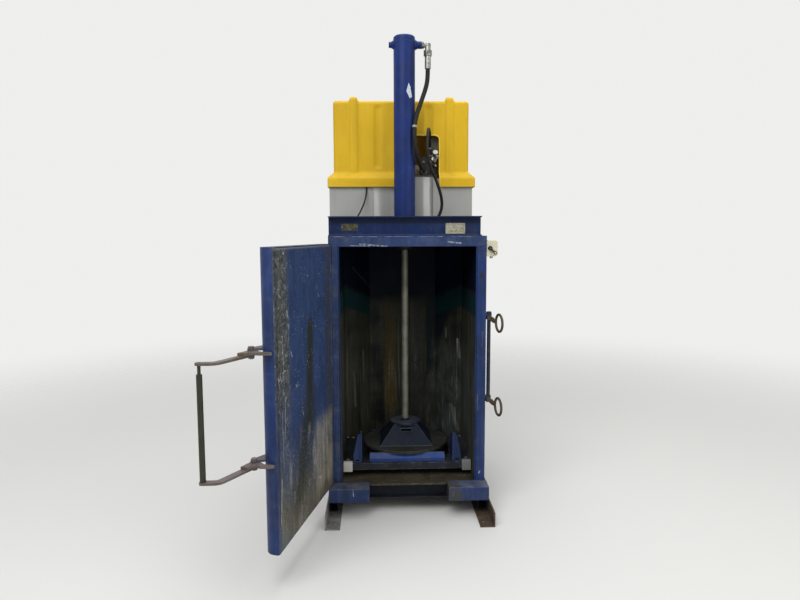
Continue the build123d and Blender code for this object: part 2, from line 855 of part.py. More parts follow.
gland = post(0, ram_depth, cylinder_bottom - gland_drop, cylinder_bottom, cylinder_radius - 4)
gland = chamfer(gland.faces().sort_by(Axis.Z)[0].edges(), 8)
gland += post(0, ram_depth, cylinder_bottom, cylinder_bottom + gland_spigot, cylinder_bore - 0.05)
gland -= post(0, ram_depth, cylinder_bottom - gland_drop - 1, cylinder_bottom + gland_spigot + 1,
              rod_radius + rod_clearance)
add("cylinder_gland", gland)


def mount_bolt(x, y):
    under = roof_bottom - mount_flange_thickness
    bolt = post(x, y, under, frame_top + 18, mount_bolt_radius)
    bolt += hexagon_between((x, y, under - 10), (x, y, under), 24)
    return bolt + hexagon_between((x, y, frame_top), (x, y, frame_top + 13), 24)


add("cylinder_bolts", *[mount_bolt(x, y) for x, y in bolt_places])

# Ram: rod and piston
rod_top = piston_bottom + piston_height
piston = post(0, ram_depth, piston_bottom, rod_top, cylinder_bore - 0.1)
for level in (0.3, 0.7):
    groove_level = piston_bottom + level * piston_height
    groove = post(0, ram_depth, groove_level - piston_groove, groove_level + piston_groove, cylinder_bore)
    piston -= groove - post(0, ram_depth, groove_level - piston_groove, groove_level + piston_groove,
                            cylinder_bore - 2 * piston_groove)
piston -= post(0, ram_depth, piston_bottom - 1, rod_top + 1, rod_radius - rod_tail_step)
add("piston", piston)
rod = post(0, ram_depth, rod_bottom, piston_bottom, rod_radius)
rod += post(0, ram_depth, piston_bottom - 1, rod_top, rod_radius - rod_tail_step)
rod += post(0, ram_depth, cone_top, rod_bottom + 1, rod_radius - rod_nose_step)
add("piston_rod", rod)

rod_flange = post(0, ram_depth, cone_top, rod_bottom, rod_flange_radius)
rod_flange = chamfer(rod_flange.edges().group_by(Axis.Z)[-1], 2)
rod_flange += post(0, ram_depth, rod_bottom, rod_bottom + rod_collar_height, rod_collar_radius)
rod_flange -= post(0, ram_depth, rod_bottom, rod_bottom + rod_collar_height + 1, rod_radius + 0.05)
rod_flange -= post(0, ram_depth, cone_top - 1, rod_bottom + 1, rod_radius - rod_nose_step + 0.05)
add("rod_flange", rod_flange)


# Platen: hollow four sided cone on a disc, carried over the square crushing frame
def pyramid(base_half, top_half, z0, z1):
    """A four sided pyramid without its tip, where two tapered bars cross."""
    slope = [(-base_half, z0), (base_half, z0), (top_half, z1), (-top_half, z1)]
    across = make_face(Polyline(*[(0, y, z) for y, z in slope], close=True))
    along_x = extrude(Pos(-base_half, ram_depth, 0) * across, 2 * base_half, dir=(1, 0, 0))
    fore = make_face(Polyline(*[(x, 0, z) for x, z in slope], close=True))
    along_y = extrude(Pos(0, ram_depth - base_half, 0) * fore, 2 * base_half, dir=(0, 1, 0))
    return along_x & along_y


def platen_cone():
    outer = pyramid(cone_base_half, cone_top_half, cone_bottom, cone_top)
    inner = pyramid(cone_base_half - cone_wall, cone_top_half - cone_wall, cone_bottom, cone_top)
    slot_middle = cone_top - cone_slot_drop
    slot = box(-cone_slot_half, cone_slot_half, 0, ram_depth,
               slot_middle - cone_slot_height / 2, slot_middle + cone_slot_height / 2)
    return outer - inner - slot


add("platen_cone", platen_cone())
disc = post(0, ram_depth, disc_bottom, cone_bottom, disc_radius)
disc = chamfer(disc.edges().group_by(Axis.Z)[-1], 2)
add("platen_disc", disc)


def platen_outline(z0, z1):
    bevel_x = frame_half - frame_corner
    bevel_y = platen_rear - frame_corner
    return prism([(-frame_half, frame_front), (frame_half, frame_front), (frame_half, bevel_y),
                  (bevel_x, platen_rear), (-bevel_x, platen_rear), (-frame_half, bevel_y)], z0, z1)


def platen_frame():
    frame = platen_outline(frame_bottom, frame_level)
    frame -= box(-frame_half + frame_side_width, frame_half - frame_side_width,
                 frame_front + frame_front_width, platen_rear - frame_front_width,
                 frame_bottom + frame_plate, frame_level + 1)
    for offset in (-cross_bar_offset, cross_bar_offset):
        frame += box(-stop_bar_half, stop_bar_half, ram_depth + offset - cross_bar_half,
                     ram_depth + offset + cross_bar_half, frame_bottom + frame_plate, disc_bottom)
    bar_out = half_chamber - shoe_gap
    bar_in = bar_out - shoe_size - side_bar_overlap
    bar = box(bar_in, bar_out, shoe_front + shoe_size / 2, shoe_rear - shoe_size / 2, frame_level,
              frame_level + side_bar_thickness)
    for depth in (shoe_front + shoe_bolt_offset, shoe_rear - shoe_bolt_offset):
        bar -= post(bar_out - shoe_size / 2, depth, frame_level - 1, frame_level + side_bar_thickness + 1,
                    shoe_bolt_radius + 0.2)
    return frame + bar + mirrored(bar)


add("platen_frame", platen_frame())


def stop_bar():
    """A folded bar that stands on the front of the frame and leans back under the disc."""
    reach = disc_bottom - frame_level
    upright = reach * 0.42
    lean = reach - upright
    y0 = frame_front + stop_bar_setback
    profile = [(y0, frame_level), (y0 + stop_bar_wall, frame_level),
               (y0 + stop_bar_wall, frame_level + upright - 2),
               (y0 + stop_bar_wall + lean - 2, disc_bottom), (y0 + lean - stop_bar_wall - 2, disc_bottom),
               (y0, frame_level + upright)]
    side = make_face(Polyline(*[(0, y, z) for y, z in profile], close=True))
    return extrude(Pos(-stop_bar_half, 0, 0) * side, 2 * stop_bar_half, dir=(1, 0, 0))


front_stop = stop_bar()
rear_stop = mirror(front_stop, about=Plane(origin=(0, ram_depth, 0), z_dir=(0, 1, 0)))
add("platen_stop_bars", front_stop, rear_stop)


def upright():
    top = frame_level + upright_height
    shoulder = frame_level + upright_height / 4
    outline = [(upright_inner, frame_level), (upright_inner + upright_base, frame_level),
               (upright_inner + upright_base, shoulder), (upright_inner + upright_top, top),
               (upright_inner, top)]
    face = make_face(Polyline(*[(x, 0, z) for x, z in outline], close=True))
    front = frame_front + upright_setback
    back = front + upright_run
    plate = extrude(Pos(0, front, 0) * face, upright_thickness, dir=(0, 1, 0))
    side_outline = [(front, frame_level), (back, frame_level), (back, frame_level + 30),
                    (front + upright_run * 0.6, top), (front, top)]
    side = make_face(Polyline(*[(0, y, z) for y, z in side_outline], close=True))
    web = extrude(Pos(upright_inner, 0, 0) * side, upright_thickness, dir=(1, 0, 0))
    slot = box(upright_inner + upright_thickness + 4, upright_inner + upright_base - 9, 0, ram_depth,
               frame_level + 6, frame_level + 15)
    return plate + web - slot


add("platen_uprights", upright(), mirrored(upright()))


def guide_shoe():
    outer = half_chamber - shoe_gap
    shoe = box(outer - shoe_size, outer, shoe_front, shoe_front + shoe_size,
               shoe_bottom, shoe_bottom + shoe_height)
    shoe = chamfer(shoe.edges(), 1.5)
    shoe -= box(outer - shoe_size - 1, outer + 1, shoe_front + shoe_size / 2, shoe_front + shoe_size + 1,
                frame_level, shoe_bottom + shoe_height + 1)
    return shoe - post(outer - shoe_size / 2, shoe_front + shoe_bolt_offset, shoe_bottom - 1,
                       frame_level + 1, shoe_bolt_radius + 0.2)


def shoe_bolt():
    x = half_chamber - shoe_gap - shoe_size / 2
    y = shoe_front + shoe_bolt_offset
    top = frame_level + side_bar_thickness
    bolt = post(x, y, shoe_bottom - 13, top, shoe_bolt_radius)
    return bolt + hexagon_between((x, y, top), (x, y, top + 8), 19) + hexagon_between(
        (x, y, shoe_bottom - 9), (x, y, shoe_bottom), 19)


middle = Plane(origin=(0, (shoe_front + shoe_rear) / 2, 0), z_dir=(0, 1, 0))
for name, piece in (("guide_shoes", guide_shoe()), ("shoe_bolts", shoe_bolt())):
    pair = [piece, mirrored(piece)]
    add(name, *pair, *[mirror(p, about=middle) for p in pair])

# Power unit: deck, skirt panels, oil tank with lid, motor, manifold and valve
add("unit_deck", box(-deck_left, deck_right, deck_front, deck_rear, deck_bottom, deck_top))


def skirt_panel(side):
    outer = deck_left - skirt_left_margin if side < 0 else deck_right - skirt_right_margin
    inner = (tank_left if side < 0 else tank_right) - skirt_lap
    front = box(inner, outer, skirt_front, skirt_front + skirt_sheet, deck_top, skirt_top)
    rear = box(inner, outer, skirt_rear - skirt_sheet, skirt_rear, deck_top, skirt_top)
    wall = box(outer - skirt_sheet, outer, skirt_front, skirt_rear, deck_top, skirt_top)
    panel = front + wall + rear
    corners = [e for e in panel.edges().filter_by(Axis.Z) if abs(e.center().X - outer) < 0.1]
    panel = fillet(corners, 2.5)
    return mirrored(panel) if side < 0 else panel


add("skirt_panels", skirt_panel(-1), skirt_panel(1))


def oil_tank():
    tank = box(-tank_left, tank_right, tank_front, tank_rear, deck_top, tank_top)
    tank = fillet(tank.edges().filter_by(Axis.Z), tank_corner)
    inside = box(-tank_left + tank_wall, tank_right - tank_wall, tank_front + tank_wall,
                 tank_rear - tank_wall, deck_top + tank_wall, tank_top + 1)
    return tank - fillet(inside.edges().filter_by(Axis.Z), tank_corner - tank_wall)


def tank_lid():
    lid = box(-tank_left - lid_overhang, tank_right + lid_overhang, tank_front - lid_overhang,
              tank_rear + lid_overhang, tank_top, lid_top)
    lid = fillet(lid.edges().filter_by(Axis.Z), tank_corner)
    return lid - post(motor_x, motor_depth, tank_top - 1, lid_top + 1, 34)


add("oil_tank", oil_tank())
add("tank_lid", tank_lid())


def bell_housing():
    bell = post(motor_x, motor_depth, lid_top, lid_top + bell_height, bell_radius)
    bell += post(motor_x, motor_depth, lid_top, lid_top + 10, bell_radius + 14)
    bell += post(motor_x, motor_depth, lid_top + bell_height - bell_flange, lid_top + bell_height,
                 motor_radius)
    return bell - post(motor_x, motor_depth, lid_top - 1, lid_top + bell_height - 20, bell_radius - 10)


def motor():
    low = lid_top + bell_height
    body = post(motor_x, motor_depth, low, low + motor_length, motor_radius)
    for step in range(16):
        turn = 22.5 * step
        fin = Pos(motor_x, motor_depth, low + motor_length / 2) * Rot(0, 0, turn) * Pos(motor_radius, 0, 0)
        body += fin * Box(16, 4, motor_length - 40)
    motor_front = motor_depth - motor_radius
    body += box(motor_x - terminal_half, motor_x + terminal_half, motor_front + 12 - terminal_depth,
                motor_front + 12, low + terminal_low, low + terminal_low + terminal_height)
    return body


def fan_cover():
    low = lid_top + bell_height + motor_length
    cowl = post(motor_x, motor_depth, low, low + fan_cover_height, motor_radius + 4)
    return fillet(cowl.edges().group_by(Axis.Z)[-1], 10)


def pump():
    low = tank_top - pump_height
    body = box(motor_x - pump_half, motor_x + pump_half, motor_depth - pump_half, motor_depth + pump_half,
               low, tank_top)
    body = fillet(body.edges().filter_by(Axis.Z), 12)
    body += post(motor_x, motor_depth, tank_top, lid_top + 26, 20)
    return body + post(motor_x, motor_depth, low - pump_pickup, low, 24)


add("bell_housing", bell_housing())
add("motor", motor())
add("motor_fan_cover", fan_cover())
add("pump", pump())

# Hose ends, from which the hoses start
def along(start, end, distance):
    """The point at a distance from start on the line to end."""
    a = Vector(*start)
    b = Vector(*end)
    step = a + (b - a).normalized() * distance
    return (step.X, step.Y, step.Z)


def round_cylinder(angle, clearance, height):
    """A point beside the cylinder, given by its angle, its distance from the wall and its height."""
    turn = math.radians(angle)
    reach = cylinder_radius + clearance
    return (reach * math.cos(turn), ram_depth + reach * math.sin(turn), height)


def between(start, end, share):
    return start + share * (end - start)


upper_elbow_x = upper_port_reach + upper_elbow_run
upper_nut_low = upper_port_height - upper_nut_drop
lower_rise = math.radians(lower_elbow_rise)
lower_corner = (lower_port_reach + lower_elbow_run, ram_depth, lower_port_height)
lower_aim = (lower_corner[0] + math.cos(lower_rise), ram_depth, lower_corner[2] + math.sin(lower_rise))
return_start = (upper_elbow_x, ram_depth, upper_nut_low - large_ferrule_length)
return_end = (manifold_x - return_port_offset, manifold_front - return_port_gap,
              lid_top + return_port_rise)
feed_start = (manifold_x + feed_port_offset, manifold_front - feed_port_gap,
              manifold_top + feed_port_rise)
feed_back = (feed_start[0] + feed_lean_across, feed_start[1] + feed_lean_back,
             feed_start[2] - feed_lean_down)
feed_lead = tuple(2 * a - b for a, b in zip(feed_start, feed_back))
feed_end = along(lower_corner, lower_aim, feed_end_reach)
feed_turn = along(lower_corner, lower_aim, feed_turn_reach)
cable_start = (-tank_left - cable_clip_margin, skirt_front - cable_clip_gap,
               skirt_top - cable_clip_drop)
cable_end = (-half_frame + cable_foot_inset, ram_depth + cable_foot_gap,
             frame_top + cable_foot_rise)

# Bends of the hoses round the cylinder: angle, distance from its wall, share of the fall between the ends
return_bends = [
    (-0.9, 63.0, 0.174), (-4.3, 46.3, 0.264), (-12.2, 30.0, 0.354), (-24.6, 17.0, 0.445),
    (-38.5, 12.2, 0.535), (-45.3, 14.6, 0.629), (-45.5, 18.5, 0.723), (-40.0, 20.9, 0.814),
    (-25.6, 23.2, 0.901), (-2.5, 31.1, 0.960), (17.1, 52.0, 0.991)]
feed_bends = [
    (24.7, 102.9, -0.165), (9.3, 82.9, -0.205), (-9.4, 74.8, -0.186), (-25.3, 80.5, -0.112),
    (-34.6, 89.5, -0.010), (-37.5, 92.6, 0.107), (-34.5, 95.3, 0.232), (-27.8, 105.1, 0.351),
    (-20.9, 119.8, 0.463), (-14.5, 135.2, 0.582), (-8.8, 148.5, 0.704), (-4.3, 153.6, 0.814),
    (-1.4, 147.1, 0.912)]

# Bends of the cable: its shares of the way between its ends, across, inwards and down
cable_bends = [
    (0.041, 0.192, 0.249), (0.151, 0.417, 0.379), (0.315, 0.603, 0.502), (0.534, 0.775, 0.625),
    (0.795, 0.921, 0.743), (0.973, 1.0, 0.862)]

return_route = [return_start, (upper_elbow_x, ram_depth, return_start[2] - return_leg)]
for angle, clearance, share in return_bends:
    return_route.append(round_cylinder(angle, clearance, between(return_start[2], return_end[2], share)))
return_route += [(return_end[0], return_end[1] - return_lead, return_end[2]), return_end]

feed_route = [feed_start, feed_lead]
for angle, clearance, share in feed_bends:
    feed_route.append(round_cylinder(angle, clearance, between(feed_start[2], feed_turn[2], share)))
feed_route += [feed_turn, feed_end]

cable_route = [cable_start, (cable_start[0], cable_start[1], cable_start[2] - cable_leg)]
for shares in cable_bends:
    cable_route.append(tuple(between(a, b, share) for a, b, share in zip(cable_start, cable_end, shares)))
cable_route.append(cable_end)


def run_radii(route):
    """As large an arc at each corner as its two runs allow."""
    points = [Vector(*p) for p in route]
    radii = []
    for a, b, c in zip(points, points[1:], points[2:]):
        turn = math.radians((b - a).get_angle(c - b))
        radii.append(0.45 * min((b - a).length, (c - b).length) / math.tan(turn / 2))
    return radii


def cord(route, diameter, name):
    """A tube of straight runs joined by tangent arcs."""
    radii = run_radii(route)
    path = FilletPolyline(*route, radius=radii)
    section = Plane(origin=route[0], z_dir=Vector(*route[1]) - Vector(*route[0])) * Circle(diameter / 2)
    tube = sweep(section, path=path)
    wanted = math.pi * diameter ** 2 / 4 * path.length
    print(name, "length", round(path.length, 1), "volume ratio", round(tube.volume / wanted, 4))
    print("   radii", [round(r) for r in radii])
    return tube


def manifold_plug(offset, rise, length, across):
    """A hexagon plug in the front of the manifold."""
    x = manifold_x + offset
    z = lid_top + rise
    return hexagon_between((x, manifold_front, z), (x, manifold_front - length, z), across)


def manifold():
    block = box(manifold_x - manifold_width / 2, manifold_x + manifold_width / 2, manifold_front,
                manifold_depth + manifold_half_depth, lid_top, manifold_top)
    block = chamfer(block.edges(), 2)
    return block + manifold_plug(-44, 88, 16, 24) + manifold_plug(20, 30, 18, 22)


def cartridge(offset, drop, radius, across):
    """A plated valve cartridge with its nut, leaning up out of the front of the manifold."""
    x = manifold_x + offset
    root = (x, manifold_front, manifold_top - drop)
    tip = (x, manifold_front - 50, manifold_top - drop + 30)
    body = bar_between(root, tip, radius) + hexagon_between(root, along(root, tip, 22), across)
    return body - box(x - across, x + across, manifold_front, manifold_depth, lid_top, manifold_top + across)


def valve():
    return cartridge(34, 12, 15, 34) + cartridge(25, 50, 14, 32)


add("manifold", manifold())
add("valve_cartridges", valve())


def upper_elbow():
    mouth = (upper_port_reach, ram_depth, upper_port_height)
    corner = (upper_elbow_x, ram_depth, upper_port_height)
    foot = (upper_elbow_x, ram_depth, upper_nut_low)
    body = bar_between(mouth, corner, 14) + hexagon_between(mouth, along(mouth, corner, 12), 34)
    body += Pos(*corner) * Sphere(17)
    return body + bar_between(corner, foot, 16) + hexagon_between(along(foot, corner, 32), foot, 40)


def lower_elbow():
    start = (lower_port_reach, ram_depth, lower_port_height)
    nut_start = along(lower_corner, feed_end, 6)
    nut_end = along(feed_end, lower_corner, small_ferrule_length)
    body = bar_between(start, lower_corner, 10)
    body += hexagon_between(start, along(start, lower_corner, 9), 24)
    body += Pos(*lower_corner) * Sphere(11.5)
    return body + hexagon_between(nut_start, nut_end, 24)


def feed_fitting():
    """The bent fitting on top of the manifold for the feed hose."""
    far = along(feed_start, feed_back, small_ferrule_length)
    bend = along(feed_start, feed_back, small_ferrule_length + 12)
    body = hexagon_between((bend[0], bend[1], manifold_top), (bend[0], bend[1], manifold_top + 6), 24)
    body += Pos(*bend) * Sphere(9)
    return body + bar_between(bend, far, 9)


def return_fitting():
    mouth = (return_end[0], manifold_front, return_end[2])
    return hexagon_between(along(return_end, mouth, return_ferrule_length), mouth, 32)


def ferrule(hose_end, inward, length, radius):
    """A crimped sleeve that starts at the hose's end."""
    far = along(hose_end, inward, length)
    sleeve = bar_between(hose_end, far, radius)
    return chamfer(sleeve.edges(), 1.5)


add("upper_elbow", upper_elbow())
add("lower_elbow", lower_elbow())
add("manifold_fittings", feed_fitting(), return_fitting())
add("hose_ferrules",
    ferrule(return_start, (upper_elbow_x, ram_depth, upper_nut_low), large_ferrule_length, ferrule_radius),
    ferrule(return_end, (return_end[0], manifold_front, return_end[2]), return_ferrule_length,
            ferrule_radius),
    ferrule(feed_start, feed_back, small_ferrule_length, small_ferrule_radius),
    ferrule(feed_end, lower_corner, small_ferrule_length, small_ferrule_radius))
add("return_hose", cord(return_route, return_hose_diameter, "return hose"))
add("feed_hose", cord(feed_route, feed_hose_diameter, "feed hose"))
add("control_cable", cord(cable_route, cable_diameter, "control cable"))
clip = box(cable_start[0] - clip_half, cable_start[0] + clip_half, cable_start[1] - 5.5, skirt_front,
           cable_start[2], cable_start[2] + clip_height)
floor_gland = post(cable_end[0], cable_end[1], frame_top, cable_end[2], clip_half)
add("cable_glands", clip, floor_gland)


# Cover: one moulding with a stepped lip, ribs, shallow flutes and a window in its front
def cover_body(inset):
    top = cover_top - inset
    corner = cover_corner - inset * 0.6
    lip_level = lip_top - inset * 0.4
    body = box(-cover_left + inset, cover_right - inset, cover_front + inset, cover_rear - inset,
               lip_bottom - 1, top)
    body = fillet(body.edges().filter_by(Axis.Z), corner)
    body = fillet(body.faces().sort_by(Axis.Z)[-1].edges(), corner - 1)
    centre_x = (cover_right - cover_left) / 2
    centre_y = (cover_front + cover_rear) / 2
    wide = cover_right + cover_left - 2 * inset
    deep = cover_rear - cover_front - 2 * inset
    half_lip = wide / 2 + lip_step
    deep_lip = deep / 2 + lip_step
    lip = box(centre_x - half_lip, centre_x + half_lip, centre_y - deep_lip, centre_y + deep_lip,
              lip_bottom - 1, lip_level)
    lip = fillet(lip.edges().filter_by(Axis.Z), corner + 6)
    low = Plane(origin=(centre_x, centre_y, lip_level)) * RectangleRounded(
        2 * half_lip, 2 * deep_lip, corner + 6)
    high = Plane(origin=(centre_x, centre_y, lip_level + lip_slope)) * RectangleRounded(wide, deep, corner)
    return body + lip + loft([low, high])


def rib(centre):
    low = lip_top - 4
    profile = box(centre - rib_width / 2, centre + rib_width / 2, cover_front - rib_front,
                  cover_rear + rib_front, low, cover_top + rib_rise)
    profile = fillet(profile.edges().filter_by(Axis.X).group_by(Axis.Z)[-1], rib_crown)
    outer = profile.faces().filter_by(Axis.X)
    edges = [e for f in outer for e in f.edges() if e.center().Z > low + 1]
    return fillet(edges, rib_round)


def rib_hollow(centre):
    return box(centre - rib_width / 2 + cover_wall, centre + rib_width / 2 - cover_wall,
               cover_front - rib_front + cover_wall, cover_rear + rib_front - cover_wall,
               lip_top + lip_slope, cover_top + rib_rise - cover_wall)


def cover():
    shell = cover_body(0)
    for centre in rib_centres:
        shell += rib(centre)
    for centre in groove_centres:
        shell -= post(centre, cover_front - groove_radius + groove_depth, lip_top + lip_slope + 2,
                      cover_top - groove_end, groove_radius)
    shell -= cover_body(cover_wall)
    for centre in rib_centres:
        shell -= rib_hollow(centre)
    shell -= box(-2 * cover_left, 2 * cover_right, 0, 2 * cover_rear, lip_bottom - 2, lip_bottom)
    window = box(window_left, window_right, 0, cover_front + 2 * lip_step, lip_bottom - 5, window_top)
    window = fillet(window.edges().filter_by(Axis.Y).group_by(Axis.Z)[-1], window_radius)
    return shell - window


add("cover", cover())

os.makedirs("parts", exist_ok=True)
for name, solids in nodes.items():
    moved = [Pos(0, -origin_depth, 0) * s for s in solids]
    shape = moved[0] if len(moved) == 1 else Compound(children=moved)
    export_step(shape, f"parts/{name}.step")
print(len(nodes), "nodes; origin depth", origin_depth, "anchors", anchor_span_x, "by", anchor_span_y)
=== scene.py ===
import bpy
import bmesh
import math
import random
from mathutils import Matrix, Vector


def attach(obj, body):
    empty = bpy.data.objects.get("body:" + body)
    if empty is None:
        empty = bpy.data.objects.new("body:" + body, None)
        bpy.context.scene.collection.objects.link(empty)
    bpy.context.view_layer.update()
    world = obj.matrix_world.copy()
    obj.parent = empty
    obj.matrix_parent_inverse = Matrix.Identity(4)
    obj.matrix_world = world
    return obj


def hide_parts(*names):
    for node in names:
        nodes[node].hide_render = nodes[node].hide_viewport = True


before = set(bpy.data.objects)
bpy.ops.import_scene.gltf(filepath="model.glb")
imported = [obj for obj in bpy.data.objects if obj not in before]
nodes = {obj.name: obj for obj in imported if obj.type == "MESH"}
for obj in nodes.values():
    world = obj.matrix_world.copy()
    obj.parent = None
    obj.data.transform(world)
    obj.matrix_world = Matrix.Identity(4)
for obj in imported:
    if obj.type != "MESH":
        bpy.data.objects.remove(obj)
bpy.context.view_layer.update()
random.seed(7)

# Depths below are measured from the front of the door frame, as in the part's source, and in millimetres.
ORIGIN_DEPTH = 318
DOOR_ANGLE = math.radians(-102.8)
HINGE = (-405.5, -12.5)
FRONT = Vector((0, -1, 0))
UP = Vector((0, 0, 1))


def at(x, y, z):
    """A point given in millimetres from the front of the frame, in the row frame's metres."""
    return Vector((x / 1000, (y - ORIGIN_DEPTH) / 1000, z / 1000))


def on_door(x, y, z):
    """A point given on the closed door, carried round to the open door of the photograph."""
    dx, dy = x - HINGE[0], y - HINGE[1]
    c, s = math.cos(DOOR_ANGLE), math.sin(DOOR_ANGLE)
    return at(HINGE[0] + dx * c - dy * s, HINGE[1] + dx * s + dy * c, z)


def linked(name, data):
    """A new object of the scene."""
    thing = bpy.data.objects.new(name, data)
    bpy.context.scene.collection.objects.link(thing)
    return thing


# Shader graphs
finishes = {}


def wire(tree, value, socket):
    """Gives a socket a value, or links it to what another node gives."""
    if isinstance(value, Mask):
        value = value.socket
    if isinstance(value, bpy.types.NodeSocket):
        tree.links.new(value, socket)
    else:
        socket.default_value = value


def add_node(tree, kind, inputs=(), **settings):
    node = tree.nodes.new("ShaderNode" + kind)
    for name, value in settings.items():
        setattr(node, name, value)
    for name, value in dict(inputs).items():
        wire(tree, value, node.inputs[name])
    return node


class Mask:
    """A grey value of a shader graph; * gives the product and | the larger of two."""

    def __init__(self, graph, socket):
        self.graph = graph
        self.socket = socket

    def __add__(self, other):
        return self.graph.value("ADD", self, other)

    def __sub__(self, other):
        return self.graph.value("SUBTRACT", self, other)

    def __mul__(self, other):
        return self.graph.value("MULTIPLY", self, other)

    def __or__(self, other):
        return self.graph.value("MAXIMUM", self, other)

    def span(self, low, high, to_low=0, to_high=1, shape="LINEAR"):
        """Rises from to_low at low to to_high at high and stays level beyond them."""
        limits = {"Value": self, "From Min": low, "From Max": high, "To Min": to_low, "To Max": to_high}
        return Mask(self.graph, self.graph.node("MapRange", limits, interpolation_type=shape).outputs[0])

    def between(self, low, high, soft):
        """1 from low to high, fading out over the soft width on both sides."""
        return self.span(low - soft, low) * self.span(high + soft, high)


class Graph:
    """The shader graph of one finish, whose colour is laid coat by coat."""

    def __init__(self, name, specular=0.5):
        self.material = finishes[name] = bpy.data.materials.new(name)
        self.material.use_nodes = True
        self.tree = self.material.node_tree
        self.shader = self.tree.nodes["Principled BSDF"]
        self.shader.inputs["Specular IOR Level"].default_value = specular
        self.place = self.node("TexCoord").outputs["Object"]
        self.normal = self.node("NewGeometry").outputs["Normal"]
        self.colour = None

    def node(self, kind, inputs=(), **settings):
        return add_node(self.tree, kind, inputs, **settings)

    def value(self, operation, a, b=0, clamp=False):
        return Mask(self, self.node("Math", {0: a, 1: b}, operation=operation, use_clamp=clamp).outputs[0])

    def vector(self, operation, a, b=(0, 0, 0), scale=None):
        inputs = {0: a, 1: b} if scale is None else {0: a, "Scale": scale}
        node = self.node("VectorMath", inputs, operation=operation)
        if operation in ("DOT_PRODUCT", "LENGTH"):
            return Mask(self, node.outputs["Value"])
        return node.outputs["Vector"]

    def scaled(self, scale, shift=(0, 0, 0)):
        return self.node("Mapping", {"Vector": self.place, "Scale": scale, "Location": shift}).outputs[0]

    def noise(self, scale, detail=4, rough=0.55, warp=0, stretch=None, output="Fac"):
        """Soft patches or fine grain; a low third value of stretch draws them out to upright streaks."""
        source = self.scaled(stretch) if stretch else self.place
        inputs = {"Vector": source, "Scale": scale, "Detail": detail, "Roughness": rough, "Distortion": warp}
        return Mask(self, self.node("TexNoise", inputs).outputs[output])

    def cells(self, scale):
        return Mask(self, self.node("TexVoronoi", {"Vector": self.place, "Scale": scale}).outputs["Distance"])

    def blend(self, amount, a, b):
        """From tone a to tone b, each three numbers or what another node gives."""
        ends = [(*tone, 1) if isinstance(tone, tuple) else tone for tone in (a, b)]
        return self.node("Mix", {"Factor": amount, 6: ends[0], 7: ends[1]}, data_type="RGBA").outputs[2]

    def coat(self, amount, tone):
        """Lays a tone over the colour so far."""
        self.colour = self.blend(amount, self.colour, tone)

    def axis(self, name, source=None):
        return Mask(self, self.node("SeparateXYZ", {0: source or self.place}).outputs[name])

    def facing(self, name):
        return self.axis(name, self.normal)

    def sheet(self, across, up, wobble=0.004, scale=60):
        """A flat drawing surface for marks, its lines made slightly uneven."""
        flat = self.node("CombineXYZ", {0: across, 1: up}).outputs[0]
        shake = self.vector("SUBTRACT", self.noise(scale, 3, 0.6, output="Color"), (0.5, 0.5, 0.5))
        return self.vector("ADD", flat, self.vector("MULTIPLY", shake, (2 * wobble, 2 * wobble, 0)))

    def stroke(self, sheet, start, end, width, soft=0.5):
        """A mark between two points of a sheet, in metres, near 1 along its middle."""
        run = (end[0] - start[0], end[1] - start[1])
        square = run[0] ** 2 + run[1] ** 2
        from_start = self.vector("SUBTRACT", sheet, (*start, 0))
        share = self.vector("DOT_PRODUCT", from_start, (run[0] / square, run[1] / square, 0))
        along = self.vector("SCALE", (*run, 0), scale=self.value("ADD", share, 0, clamp=True))
        aside = self.vector("MULTIPLY", self.vector("SUBTRACT", from_start, along), (1, 1, 0))
        return self.vector("LENGTH", aside).span(width / 2, width / 2 * soft)

    def draw(self, sheet, marks, tone, soft, *masks):
        """Lays marks over the colour: each has its start, end, width and strength."""
        for start, end, width, strength in marks:
            mark = self.stroke(sheet, start, end, width, soft)
            for mask in masks:
                mark = mark * mask
            self.coat(mark * strength, tone)

    def edges(self, radius):
        """Near 1 on the part's outer edges and corners, 0 on its flats."""
        bevel = self.node("Bevel", {"Radius": radius}, samples=6)
        return self.vector("DOT_PRODUCT", bevel.outputs[0], self.normal).span(0.995, 0.8)

    def finish(self, rough, height, strength, distance, metal=0):
        """Wires the shader; height is the relief, distance its depth in metres."""
        relief = self.node("Bump", {"Strength": strength, "Distance": distance, "Height": height}).outputs[0]
        for name, value in (("Base Color", self.colour), ("Roughness", rough), ("Normal", relief),
                            ("Metallic", metal)):
            wire(self.tree, value, self.shader.inputs[name])


# Stage, camera and light
def stage_plane():
    """Pale floor that melts into the pale backdrop a few metres from the machine."""
    size = 14
    mesh = bpy.data.meshes.new("floor")
    corners = [(-size, -size, 0), (size, -size, 0), (size, size, 0), (-size, size, 0)]
    mesh.from_pydata(corners, [], [(0, 1, 2, 3)])
    g = Graph("floor_pale")
    g.shader.inputs["Base Color"].default_value = (0.72, 0.72, 0.705, 1)
    g.shader.inputs["Roughness"].default_value = 0.75
    fade = g.vector("LENGTH", g.place).span(1.2, 6.5, shape="SMOOTHSTEP")
    clear = g.node("BsdfTransparent")
    mix = g.node("MixShader", {0: fade, 1: g.shader.outputs[0], 2: clear.outputs[0]})
    wire(g.tree, mix.outputs[0], g.tree.nodes["Material Output"].inputs["Surface"])
    mesh.materials.append(g.material)
    linked("floor", mesh)


